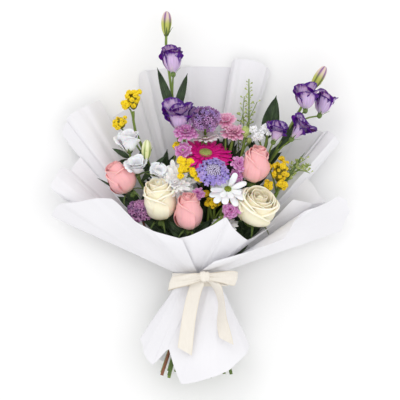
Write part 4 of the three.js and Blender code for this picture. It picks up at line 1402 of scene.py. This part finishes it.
def rayed_bloom(name, at, axis, finish, outline, rings, radius, disc=None):
    """A large rayed bloom in separate pieces: its rays, its heart if it shows, and its green."""
    seat = set_on(at, axis)
    joined(name + "_rays", petal_rings(seat, finish, outline, rings), name + "_petals")
    if disc:
        joined(name + "_heart", disc_of(seat, *disc), name + "_disc")
    green_of(name, at, axis, radius)


rayed_bloom("gerbera", (9, 77, 86), (0.1, 0.8, 0.6), MAGENTA, STRAP, [
    Ring(21, 38, 8.4, 11, 0.8, 0.02, cup=-0.9, curl=-12.0, vary=0.09),
    Ring(21, 33, 8.0, 11, 2.0, 0.1, cup=-0.9, curl=-14.0, vary=0.1),
    Ring(20, 18, 5.6, 10, 3.0, 0.24, cup=0.8, curl=6.0),
    Ring(24, 8, 2.6, 9.5, 3.6, 0.65, cup=0.4, curl=20.0, across=2),
], 14, (11.5, 5.5, 3.0, DISC_GOLD, 130, 1.0))
rayed_bloom("daisy_centre", (47, 17, 121), (0.1, 0.6, 0.8), DAISY_WHITE, BROAD, [
    Ring(11, 30, 12, 5, 0.7, 0.0, cup=-0.8, curl=-10.0, vary=0.14),
    Ring(8, 23, 10.5, 5, 2.0, 0.2, cup=1.2, curl=14.0, vary=0.22),
], 10, (6.2, 5.5, 1.2, DISC_GREEN, 70, 0.9))
CHRYSANTHEMUM_RINGS = [
    Ring(21 - 2 * i, 35 - 4.6 * i, 9.4 - 0.7 * i, 5 - 0.7 * i, 0.8 + 2.2 * i, 0.13 * i, cup=0.8,
         curl=-6.0 + 8 * i, vary=0.22)
    for i in range(7)
]
rayed_bloom("chrysanthemum", (-43, 29, 96), (0.02, 0.2, 0.98), CHRYSANTHEMUM,
            BROAD, CHRYSANTHEMUM_RINGS, 12)

SCABIOSA_AT, SCABIOSA_AXIS = (22, 46, 121), (0.05, 0.5, 0.86)
seat = set_on(SCABIOSA_AT, SCABIOSA_AXIS)
floret = star_floret("floret", LILAC_FLORET, 0.9, 0.55, True)
inner = star_floret("floret", LILAC_PALE, 0.9, 0.5)
bed = ball("bed", HEART, 40, 9, 20, 8, foot=-2)
scabiosa = [copy_of(bed, seat)]
scabiosa += floret_rings(floret, seat, [
    (15, 23.5, 1.5, 5.6, 1.0), (14, 19.5, 4.5, 5.2, 0.75), (11, 15.0, 6.8, 4.6, 0.5),
])
scabiosa += spiral_of(inner, seat, 44, 12.5, 8.0, 10.0, 2.0)
scabiosa += stamens(seat, 40, 18, 7.5, 5)
retire(floret, inner, bed)
joined("scabiosa_head", scabiosa, "scabiosa_petals")
green_of("scabiosa", SCABIOSA_AT, SCABIOSA_AXIS, 9)


def whole_ray(node, at, axis, finish, outline, rings, disc, beside=None):
    """A rayed bloom on its stem as one piece. What is beside it is a smaller one on a branch."""
    seat = set_on(at, axis)
    stations = stem_stations(node, at, axis)
    pieces = [main_stem(stations, RAY_STEM_TOP)]
    pieces += green_cup(at, axis, 8, 6)
    pieces += petal_rings(seat, finish, outline, rings)
    pieces += disc_of(seat, *disc)
    if beside:
        share, side_at, side_axis, side_rings, side_disc = beside
        side_seat = set_on(side_at, side_axis)
        pieces.append(branch(stations, share, side_at))
        pieces += petal_rings(side_seat, finish, outline, side_rings)
        pieces += disc_of(side_seat, *side_disc)
    joined(node + "_bloom", pieces, node)


whole_ray("daisy_low", (42, -42, 110), (0, 0.8, 0.6), DAISY_WHITE, OVAL, [
    Ring(13, 18, 7.5, 6, 0.8, 0.1, cup=-0.8),
    Ring(10, 16, 7, 6, 1.6, 0.22, cup=-0.8),
], (7, 4.6, 1.0, DISC_GREEN, 60, 0.9))
whole_ray("daisy_pale", (9, 103, 74), (-0.02, 0.88, 0.47), DAISY_PINK, BROAD, [
    Ring(16, 24, 6.6, 5, 0.8, 0.5, cup=0.8),
    Ring(13, 20, 6, 5, 1.6, 0.8, cup=0.8),
], (6, 4.6, 1.0, DISC_GOLD, 50, 0.9))
whole_ray("orchid_top", (-25, 114, 92), (0.1, 0.75, 0.65), ORCHID_PETAL, FAN, [
    Ring(17, 19, 6.4, 4, 0.6, 0.1, ruffle=0.8, vary=0.2),
    Ring(15, 14, 5.6, 3.5, 2.6, 0.4, ruffle=0.8, vary=0.22),
    Ring(13, 10, 4.6, 2.5, 4.4, 0.75, ruffle=0.7, vary=0.24),
    Ring(9, 7, 3.6, 1.5, 5.4, 1.1, ruffle=0.6, vary=0.24),
], (3, 4, 3.4, DISC_PALE, 16, 0.9), beside=(0.88, (-29, 83, 100), (0, 0.5, 0.85), [
    Ring(15, 13, 4.8, 2, 0.8, 0.25, ruffle=0.7, vary=0.2),
    Ring(12, 8, 3.8, 1.5, 2.4, 0.75, ruffle=0.6, vary=0.2),
], (2, 3, 2.5, DISC_PALE, 10, 0.8)))
whole_ray("pink_spray", (57, 113, 88), (0.1, 0.75, 0.65), PINK_PETAL, FAN, [
    Ring(19, 18, 5.6, 4, 0.6, 0.12, ruffle=0.7, vary=0.2),
    Ring(17, 14, 4.8, 3.5, 2.6, 0.45, ruffle=0.7, vary=0.22),
    Ring(15, 10, 4.0, 2.5, 4.2, 0.8, ruffle=0.6, vary=0.24),
    Ring(10, 7, 3.2, 1.5, 5.4, 1.1, ruffle=0.5, vary=0.24),
], (3.5, 5.0, 3.0, PINK_PETAL, 26, 1.1), beside=(0.84, (44, 134, 80), (0, 0.7, 0.7), [
    Ring(17, 16, 5.2, 2.5, 0.8, 0.3, ruffle=0.7, vary=0.2),
    Ring(12, 9, 4.0, 2, 2.4, 0.75, ruffle=0.6, vary=0.22),
], (2, 3, 2.5, PINK_PETAL, 10, 0.8)))


# Lisianthus: ruffled cups with coloured rims, furled buds and narrow leaves

GOBLET = (0.46, 0.72, 0.86, 0.92, 0.94, 0.98, 1.06, 1.14)
TRUMPET_FORM = (0.3, 0.44, 0.55, 0.68, 0.84, 1.02, 1.2, 1.36)
CUP_LEVELS = (0.1, 0.26, 0.44, 0.62, 0.78, 0.9, 0.98, 1.01)
BUD_RINGS = 14
BUD_TWIST = 70


def cup_bloom(at, axis, radius, height, finish, ruffle, opened):
    """Ruffled petals, each of its own height, in a form from a goblet to a trumpet."""
    seat = set_on(at, axis)
    pieces = []
    layers = ((4, 1.0, 0.92, 1.3), (3, 0.86, 1.06, 1.3), (3, 0.6, 0.98, 1.5))
    for i, (count, wide, tall, overlap) in enumerate(layers):
        for j in range(count):
            peak = height * tall * chance.uniform(0.8, 1.08)
            flare = chance.uniform(0.92, 1.16)
            profile = [(3.0, 0.8 + i)]
            for k, (goblet, trumpet, level) in enumerate(zip(GOBLET, TRUMPET_FORM, CUP_LEVELS)):
                out = radius * mix(goblet, trumpet, opened) * wide
                profile.append((out * (flare if k > 4 else 1.0), peak * level))
            pieces.append(standing_petal(
                seat, finish, profile, overlap * math.pi / count,
                drop=peak * chance.uniform(0.2, 0.36), lean=0.08,
                ruffle=ruffle * chance.uniform(0.7, 1.3), across=12,
                turned=i * 0.7 + j * 2 * math.pi / count, tilt=chance.uniform(-0.1, 0.05),
            ))
    heart = ball("heart", DISC_PALE, 6.0, height * 0.5, 10, 6, foot=0.5)
    pieces.append(copy_of(heart, seat))
    retire(heart)
    return pieces


def furled_bud(at, axis, length, radius, finish=BUD):
    """A blunt bud with its petals furled in a spiral."""
    bpy.ops.object.select_all(action="DESELECT")
    bpy.ops.mesh.primitive_uv_sphere_add(segments=15, ring_count=BUD_RINGS, radius=1)
    piece = bpy.context.object
    bpy.ops.object.mode_set(mode="EDIT")
    shape = bmesh.from_edit_mesh(piece.data)
    levels = {}
    for vertex in shape.verts:
        levels.setdefault(round(vertex.co.z, 3), []).append(vertex.index)
    for i, level in enumerate(sorted(levels)):
        ring = levels[level]
        choose(piece, ring)
        share = i / BUD_RINGS
        slim = mix(0.8, 1.0, share / 0.35) if share < 0.35 else mix(1.0, 1.3, (share - 0.35) / 0.65)
        resize(x=slim, y=slim)
        choose(piece, ring[::3])
        resize(x=0.8, y=0.8)
        choose(piece, ring)
        turn(share * BUD_TWIST, "Z", (0, 0, 0))
    bpy.ops.mesh.select_all(action="SELECT")
    resize(x=radius, y=radius, z=length / 2 + 3)
    move(z=length / 2)
    leave_edit()
    refine(piece)
    paint(piece, finish)
    piece.data.transform(set_on(at, axis))
    return piece


def slim_sepals(at, axis, count=5, length=15, tilt=1.1, wide=3.2):
    sepal = flat_petal("sepal", SEPAL, length, wide, SEPAL_OUTLINE, cup=0.4, curl=-10.0, across=2)
    made = ring_of(sepal, set_on(at, axis), count, 3, -3, tilt, 0.2)
    retire(sepal)
    return made


# Each flower: its share of the stem, place, axis, radius, height, and how far it is open
LISIANTHUS = {
    "lisianthus_left": {
        "at": (-58, 284, 46), "axis": (0.02, 1, 0), "bud": (37, 9),
        "leaves": [(0.74, (-74, 228, 48), 17), (0.76, (-21, 218, 48), 15)],
        "flowers": [
            (0.82, (-46, 218, 70), (-0.05, 0.95, 0.25), 18, 43, 0.0),
            (0.6, (-36, 122, 72), (-0.02, 0.85, 0.4), 22, 44, 0.25),
        ],
    },
    "lisianthus_right": {
        "at": (192, 190, 60), "axis": (0.5, 0.86, 0), "bud": (42, 9),
        "leaves": [(0.8, (174, 140, 54), 12), (0.78, (176, 118, 56), 9)],
        "flowers": [
            (0.84, (180, 156, 76), (0.05, 0.92, 0.3), 19, 41, 0.1),
            (0.86, (206, 148, 54), (0.35, 0.9, 0.15), 17, 38, 0.1),
            (0.72, (158, 106, 78), (0.6, 0.7, 0.35), 17, 40, 1.0),
            (0.7, (126, 102, 84), (0.3, 0.88, 0.35), 14, 31, 0.9),
        ],
    },
}

for name, spec in LISIANTHUS.items():
    node = name + "_stem"
    stations = stem_stations(node, spec["at"], spec["axis"])
    green = [main_stem(stations, SLIM_STEM_TOP)]
    green += leaves_on(stations, spec["leaves"])
    for i, (share, at, axis, radius, height, opened) in enumerate(spec["flowers"]):
        way = Vector(axis).normalized()
        green.append(branch(stations, share, Vector(at) - way * 4))
        calyx = ball("calyx", CALYX, 9, 11, foot=-9)
        green.append(copy_of(calyx, set_on(at, axis)))
        retire(calyx)
        green += slim_sepals(at, axis)
        cup = cup_bloom(at, axis, radius, height, VIOLET_RIM, 0.1, opened)
        joined(f"{name}_cup_{i + 1}", cup, f"{name}_flower_{i + 1}")
    green.append(furled_bud(spec["at"], spec["axis"], *spec["bud"]))
    green += slim_sepals(spec["at"], spec["axis"], 5, 20, 1.3, 4.0)
    joined(name + "_green", green, node)

WHITE_AT, WHITE_AXIS = (-120, 82, 80), (-0.1, 0.95, 0.3)
WHITE_BUD_AT, WHITE_BUD_AXIS = (-92, 68, 90), (0.05, 1, 0.1)
stations = stem_stations("lisianthus_white", WHITE_AT, WHITE_AXIS)
white = [main_stem(stations, SLIM_STEM_TOP)]
white += cup_bloom(WHITE_AT, WHITE_AXIS, 17, 35, LISIANTHUS_WHITE, 0.07, 0.35)
white += slim_sepals(WHITE_AT, WHITE_AXIS, 5, 20, 0.9, 6.0)
for share, at, axis, radius, height in (
    (0.86, (-106, 46, 86), (-0.1, 0.8, 0.6), 15, 26), (0.8, (-72, 44, 92), (0.2, 0.6, 0.8), 12, 15),
):
    white.append(branch(stations, share, at))
    white += cup_bloom(at, axis, radius, height, LISIANTHUS_WHITE, 0.09, 0.5)
    white += slim_sepals(at, axis, 5, 18, 0.4, 6.0)
white.append(branch(stations, 0.88, WHITE_BUD_AT))
white.append(furled_bud(WHITE_BUD_AT, WHITE_BUD_AXIS, 32, 8.5, BUD_PALE))
white += slim_sepals(WHITE_BUD_AT, WHITE_BUD_AXIS, 5, 24, 1.2, 4.5)
white += leaves_on(stations, [
    (0.86, (-56, 78, 94), 12), (0.92, (-88, 104, 84), 7), (0.97, (-150, 88, 84), 10),
    (0.95, (-140, 66, 86), 11), (0.9, (-112, 62, 92), 12),
])
joined("lisianthus_white_bloom", white, "lisianthus_white")


# Heads of small florets

KNOB_FLORETS = 9
PLUMP, SLIM = 0.6, 0.3


def spread_over(i, count, fall):
    """One of many points spread over a ball from its top: its level, its turn and its way out."""
    level = 1 - fall * (i + 0.5) / count
    flat = math.sqrt(max(0.0, 1 - level * level))
    angle = i * GOLDEN_ANGLE
    return level, angle, Vector((flat * math.cos(angle), flat * math.sin(angle), level))


def floret_head(florets, core, at, axis, radius, height, count, size, taper, lobes):
    """Florets all over a rounded core, which narrows to its foot and may be lobed."""
    seat = set_on(at, axis)
    body = ball("core", core, radius * 1.5 * mix(taper, 1, 0.6), height * 0.8, foot=height * 0.04)
    made = [copy_of(body, seat)]
    for i in range(count):
        level, angle, way = spread_over(i, count, 1.6)
        bulge = 1 + lobes * math.sin(3 * angle + 4 * level) * math.sin(2 * angle - 3 * level)
        out = chance.uniform(0.84, 1.06) * bulge
        round_out = radius * out * mix(taper, 1.0, (level + 1) / 2)
        place = (way.x * round_out, way.y * round_out, (way.z * out + 0.95) * height * 0.5)
        spot = floret_place(seat, place, way, size, (0.75, 1.25), 0.4)
        made.append(copy_of(florets[i % len(florets)], spot))
    retire(body)
    return made


def cluster_head(floret, at, axis, radius, height, lumps, size, taper):
    """A truss of small round clusters, each a knob covered with florets."""
    seat = set_on(at, axis)
    # The core's dark olive is partly the truss's own colour and partly painted shade in the gaps
    # between the knobs.
    body = ball("core", TRUSS_AND_GAP_SHADE, radius * 1.25 * mix(taper, 1, 0.6), height * 0.7, foot=height * 0.06)
    knob = ball("knob", KNOB, 1.5, 1.5, 8, 6, foot=-0.75)
    made = [copy_of(body, seat)]
    for i in range(lumps):
        level, _, way = spread_over(i, lumps, 1.65)
        out = chance.uniform(0.66, 1.2)
        round_out = (radius - size) * out * mix(taper, 1.0, (level + 1) / 2)
        rise = way.z * out * (height / 2 - size) + height / 2
        place = (way.x * round_out, way.y * round_out, rise)
        spot = floret_place(seat, place, way, size, (0.55, 1.1))
        made.append(copy_of(knob, spot))
        for j in range(KNOB_FLORETS):
            _, _, face = spread_over(j, KNOB_FLORETS, 1.1)
            made.append(copy_of(floret, floret_place(spot, face * 0.82, face, 1.0, (0.5, 0.74))))
    retire(body, knob)
    return made


def pompon(at, axis, radius, finish):
    """A small ruffled bloom, its petals in four rings that stand up to its middle."""
    return petal_rings(set_on(at, axis), finish, FAN, [
        Ring(13 - 2 * i, radius * (1.0 - 0.2 * i), radius * (0.4 - 0.05 * i), 0.5 + 0.4 * i,
             0.6 + radius * 0.12 * i, 0.15 + 0.33 * i, cup=0.6, ruffle=radius * 0.05, vary=0.24)
        for i in range(4)
    ])


# Each cluster: its share of the stem, or none at the stem's own end, its place, axis, radius,
# height, knobs, their size, and how far it narrows; rounds have florets for knobs and then lobes;
# pompons end with their radius
HEADS = {
    "yellow_left": {"finish": YELLOW, "slot": "floret_yellow", "clusters": [
        (None, (-114, 152, 54), (0.02, 0.97, 0.2), 16, 42, 20, 4.8, 0.5),
        (0.97, (-121, 156, 58), (-0.6, 0.75, 0.3), 10, 20, 10, 4.6, 0.7),
        (0.8, (-134, 122, 60), (-0.3, 0.8, 0.5), 19, 24, 17, 4.8, 0.6),
        (0.66, (-39, 86, 84), (-0.1, 0.8, 0.5), 11, 12, 8, 4.2, 1.0),
    ]},
    "yellow_centre": {"finish": YELLOW, "slot": "floret_yellow", "clusters": [
        (None, (-26, 46, 106), (-0.05, 0.75, 0.65), 12, 22, 10, 5.0, 0.9),
        (0.97, (-30, 60, 106), (-0.1, 0.8, 0.6), 9, 17, 7, 4.8, 1.0),
        (0.97, (-12, 44, 110), (0.2, 0.6, 0.75), 9, 14, 7, 4.8, 1.0),
        (0.97, (-5, 34, 112), (0.3, 0.5, 0.8), 9, 12, 6, 4.8, 1.0),
        (0.97, (-31, 38, 113), (-0.3, 0.5, 0.8), 7, 11, 4, 4.8, 1.0),
        (0.97, (-17, 60, 108), (0.1, 0.8, 0.6), 7, 11, 4, 4.6, 1.0),
    ]},
    "yellow_low": {"finish": OCHRE, "slot": "floret_ochre", "clusters": [
        (None, (24, -14, 100), (0, 0.75, 0.65), 14, 24, 14, 4.2, 0.9),
        (0.9, (10, 6, 98), (-0.3, 0.7, 0.6), 9, 13, 7, 4.2, 1.0),
        (0.86, (42, -8, 106), (0.3, 0.7, 0.6), 10, 14, 8, 4.2, 1.0),
        (0.9, (30, 6, 102), (0.1, 0.7, 0.7), 9, 12, 6, 4.2, 1.0),
        (0.88, (16, -10, 104), (-0.3, 0.6, 0.7), 8, 12, 6, 4.0, 1.0),
    ]},
    "yellow_right": {"finish": OCHRE, "slot": "floret_ochre", "clusters": [
        (None, (134, 26, 74), (0.12, 0.9, 0.3), 17, 50, 24, 4.6, 0.7),
        (0.9, (118, 20, 86), (-0.2, 0.6, 0.7), 11, 18, 9, 4.2, 0.8),
        (0.84, (136, 18, 80), (0.3, 0.7, 0.4), 12, 20, 10, 4.4, 0.8),
        (0.95, (120, 50, 82), (-0.2, 0.8, 0.5), 9, 15, 6, 4.4, 0.9),
    ]},
    "mauve_top": {"finish": MAUVE, "shade": MAUVE_SHADE, "core": HEART, "slot": "floret_mauve",
                  "rounds": [
        (None, (9, 123, 75), (0, 0.85, 0.52), 26, 37, 104, 4.5, 0.9, 0.14),
    ]},
    "mauve_low": {"finish": MAUVE_DEEP, "shade": MAUVE_SHADE, "core": HEART, "stem": STEM_RED,
                  "slot": "floret_mauve", "rounds": [
        (None, (-98, -32, 88), (-0.2, 0.8, 0.56), 21, 35, 60, 4.9, 0.9, 0.2),
    ]},
    "buttons_upper": {"finish": ORCHID_PETAL, "slot": "petal_orchid", "pompons": [
        (None, (66, 60, 104), (0.2, 0.4, 0.85), 14),
        (0.86, (62, 42, 102), (0.2, 0.3, 0.9), 11),
    ]},
    "buttons_low": {"finish": ORCHID_PETAL, "slot": "petal_orchid", "via": (11, -52, 114),
                    "axis": (0.72, 0.55, 0.42), "pompons": [
        (None, (52, -18, 128), (-0.1, 0.25, 0.95), 15),
        (0.62, (-3, 10, 120), (-0.1, 0.4, 0.9), 11),
    ]},
    "white_sprig": {"finish": SMALL_WHITE, "core": POD, "slot": "petal_white", "rounds": [
        (None, (115, 114, 80), (0.1, 0.85, 0.4), 11, 15, 22, 5.4, 0.9, 0.3),
        (0.9, (102, 106, 86), (-0.3, 0.8, 0.5), 8, 10, 14, 5.0, 0.9, 0.3),
        (0.92, (92, 116, 84), (-0.4, 0.8, 0.5), 6, 8, 9, 4.6, 0.9, 0.3),
    ]},
}

for name, spec in HEADS.items():
    heads = spec.get("clusters") or spec.get("rounds") or spec["pompons"]
    _, at, axis, *_ = heads[0]
    finish, stem = spec["finish"], spec.get("stem", STEM)
    stations = stem_stations(name, at, spec.get("axis", axis), spec.get("via"))
    pieces = [main_stem(stations, SLIM_STEM_TOP, stem)]
    plump = star_floret("plump", finish, 1.0, PLUMP, blunt=True)
    slim = star_floret("slim", finish, 1.1, SLIM, blunt=True)
    shaded = star_floret("shaded", spec.get("shade", finish), 1.1, SLIM, blunt=True)
    for share, head_at, head_axis, *size in heads:
        if share:
            pieces.append(branch(stations, share, head_at, stem))
        if "clusters" in spec:
            pieces += cluster_head(plump, head_at, head_axis, *size)
        elif "rounds" in spec:
            pieces += floret_head([slim, slim, shaded], spec["core"], head_at, head_axis, *size)
        else:
            pieces += pompon(head_at, head_axis, *size, finish)
    retire(plump, slim, shaded)
    joined(name + "_head", pieces, name)


# Green buds and sprays of seed pods

TWIG_PODS = 14
GREEN_BUDS = [
    ((76, 108, 84), (0.1, 0.95, 0.2), 14, 22), ((83, 98, 78), (0.3, 0.9, 0.3), 8, 12),
]
stations = stem_stations("green_buds", *GREEN_BUDS[0][:2])
pieces = [main_stem(stations, 2.0)]
pieces.append(branch(stations, 0.9, GREEN_BUDS[1][0]))
for at, axis, width, height in GREEN_BUDS:
    pieces.append(furled_bud(at, axis, height - 6, width / 2, POD))
    pieces += slim_sepals(at, axis, 4, height * 0.7, 1.3)
joined("green_buds_spray", pieces, "green_buds")


def pod_model():
    """A flat rounded pod on its own thin stalk, lying along +Z."""
    piece = ball("pod", POD, 5.4, 6.2, 8, 6, foot=8)
    bpy.ops.object.mode_set(mode="EDIT")
    bpy.ops.mesh.select_all(action="SELECT")
    resize(y=0.4)
    shape = bmesh.from_edit_mesh(piece.data)
    choose(piece, [v.index for v in shape.verts if v.co.z > 14.0])
    move(z=-1.4)
    choose(piece, [v.index for v in shape.verts if v.co.z < 8.1])
    move(z=-8)
    leave_edit()
    refine(piece)
    return piece


# Each spray: its tip, axis and bend, where its pods start and how many, its leaves and its twigs
PODS = {
    "pods_tall": ((84, 208, 44), (0, 1, 0), (84, 124, 50), 0.7, 58, [], [
        (0.76, (98, 168, 56)), (0.73, (74, 150, 56)), (0.8, (76, 178, 50)),
    ]),
    "pods_right": ((190, 60, 62), (0.96, 0.28, 0.05), None, 0.88, 34, [(0.84, (180, 82, 58), 6)], [
        (0.88, (170, 68, 66)), (0.93, (188, 46, 66)), (0.9, (180, 70, 64)),
    ]),
}
for name, (at, axis, via, first, count, leaves, twigs) in PODS.items():
    stations = stem_stations(name, at, axis, via)
    pod = pod_model()
    pieces = [main_stem(stations, 0.9)]
    runs = [(stations, first, count)]
    for share, tip in twigs:
        root, tip = on_stem(stations, share), Vector(tip)
        twig = [root, root.lerp(tip, 0.5) + Vector((-4, 5, 2)), tip]
        runs.append((twig, 0.3, TWIG_PODS))
        pieces.append(stalk("twig", STEM, twig, (1.0, 0.6)))
    for run, start, pods in runs:
        for i in range(pods):
            share = mix(start, 0.99, i / (pods - 1))
            angle = i * GOLDEN_ANGLE
            out = Vector((math.cos(angle), 0.7, math.sin(angle)))
            size = mix(0.95, 0.6, i / pods) * chance.uniform(0.8, 1.1)
            pieces.append(copy_of(pod, set_on(on_stem(run, share), out, angle, size)))
    retire(pod)
    pieces += leaves_on(stations, leaves, LEAF_SOFT)
    joined(name + "_spray", pieces, name)


# Dark leafy stems

# Each stem: its tip, its axis, its fan from one share to another and how many, and single leaves
FOLIAGE = {
    "foliage_left": ((-70, 40, 46), (-0.2, 0.9, 0.1), (0.55, 0.97, 16), [
        (0.6, (-132, 6, 56), 16), (0.76, (-96, 44, 40), 17), (0.95, (-56, 88, 42), 18),
        (0.68, (-74, 12, 62), 14), (0.84, (-96, 70, 52), 14), (0.9, (-44, 66, 60), 13),
        (0.97, (-38, 82, 72), 19), (0.96, (-54, 80, 78), 18), (0.93, (-64, 70, 76), 16),
    ]),
    "foliage_centre": ((38, 60, 50), (0.1, 0.9, 0.1), (0.5, 0.98, 18), [
        (0.72, (84, 36, 44), 18), (0.84, (72, 88, 44), 18), (0.96, (36, 104, 46), 18),
        (0.66, (4, 20, 70), 15), (0.8, (58, 70, 72), 14), (0.9, (14, 82, 60), 14),
        (0.95, (58, 104, 60), 18), (0.93, (30, 112, 56), 18), (0.9, (70, 84, 70), 16),
        (0.7, (24, 6, 92), 16), (0.68, (6, -4, 92), 16), (0.64, (34, -22, 92), 16),
        (0.6, (22, -26, 114), 20), (0.6, (40, -36, 116), 20), (0.58, (6, -34, 112), 18),
        (0.6, (54, -40, 112), 18), (0.86, (82, 98, 66), 17), (0.97, (46, 122, 62), 15),
        (0.95, (62, 108, 72), 14), (0.9, (65, 99, 66), 20), (0.86, (76, 93, 60), 20),
        (0.92, (54, 103, 64), 18), (0.78, (-8, 31, 88), 18), (0.8, (4, 34, 92), 18),
        (0.72, (-16, 22, 86), 18),
    ]),
    "foliage_right": ((116, 112, 48), (0.1, 1, 0.1), (0.45, 0.9, 14), [
        (0.985, (131, 180, 60), 30), (0.76, (104, 62, 44), 14), (0.84, (92, 104, 46), 17),
        (0.7, (132, 70, 60), 14), (0.8, (134, 96, 62), 14), (0.62, (120, 20, 60), 15),
    ]),
}
for name, (at, axis, (first, last, count), leaves) in FOLIAGE.items():
    stations = stem_stations(name, at, axis)
    pieces = [main_stem(stations, 2.0, STEM_DARK)]
    pieces += leaves_on(stations, leaves, LEAF, OVATE)
    pieces += leaf_fan(stations, first, last, count, 52, 17, at[0])
    joined(name + "_leaves", pieces, name)


# The twine under the paper

TWINE_RADIUS = 1.5
TWINE_TURNS = 4
TWINE_STEPS = 36
TWINE_HALF = 3
BINDING_RADIUS = 22.4


def binding():
    points = []
    for i in range(TWINE_TURNS * TWINE_STEPS + 1):
        angle = i / TWINE_STEPS * 2 * math.pi
        rise = (i / (TWINE_TURNS * TWINE_STEPS) - 0.5) * 2 * TWINE_HALF
        points.append(Vector((
            BINDING_RADIUS * TIE_WIDEN * math.cos(angle), TIE_Y + rise,
            TIE_Z + BINDING_RADIUS * TIE_FLATTEN * math.sin(angle),
        )))
    return stalk("twine", JUTE, points, (TWINE_RADIUS, TWINE_RADIUS))


joined("stem_twine", [binding()], "stem_binding")


# Floor and light

FLOOR = 30.0
LIGHT_AIM = (0, 0, 0.05)
LIGHTS = {
    "key": ((-0.7, 1.4, 1.9), 1.4, 7),
    "fill": ((1.3, 0.2, 1.7), 1.8, 3.5),
    "front": ((-0.2, -1.3, 1.8), 1.8, 3.5),
}
WORLD_STRENGTH = 0.98


def floor_finish():
    finish = Finish("floor_white", Specular_IOR_Level=0.1)
    cloud = finish.noise(finish.place(), 0.8, 2.0)
    finish.feed("Base Color", finish.blend(cloud, (0.93, 0.93, 0.93), (0.95, 0.95, 0.95)))
    finish.feed("Roughness", cloud * 0.05 + 0.9)
    return finish.material


bpy.ops.object.select_all(action="DESELECT")
bpy.ops.mesh.primitive_plane_add(size=FLOOR, location=(0, 0, 0))
floor = bpy.context.object
floor.name = "floor"
paint(floor, floor_finish())

for name, (place, size, power) in LIGHTS.items():
    bpy.ops.object.light_add(type="AREA", location=place)
    light = bpy.context.object
    light.name = name
    light.data.size = size
    light.data.energy = power
    way = Vector(LIGHT_AIM) - Vector(place)
    light.rotation_euler = way.to_track_quat("-Z", "Y").to_euler()

world = bpy.data.worlds.new("studio")
world.use_nodes = True
background = world.node_tree.nodes["Background"]
background.inputs["Color"].default_value = (*WHITE, 1)
background.inputs["Strength"].default_value = WORLD_STRENGTH
bpy.context.scene.world = world
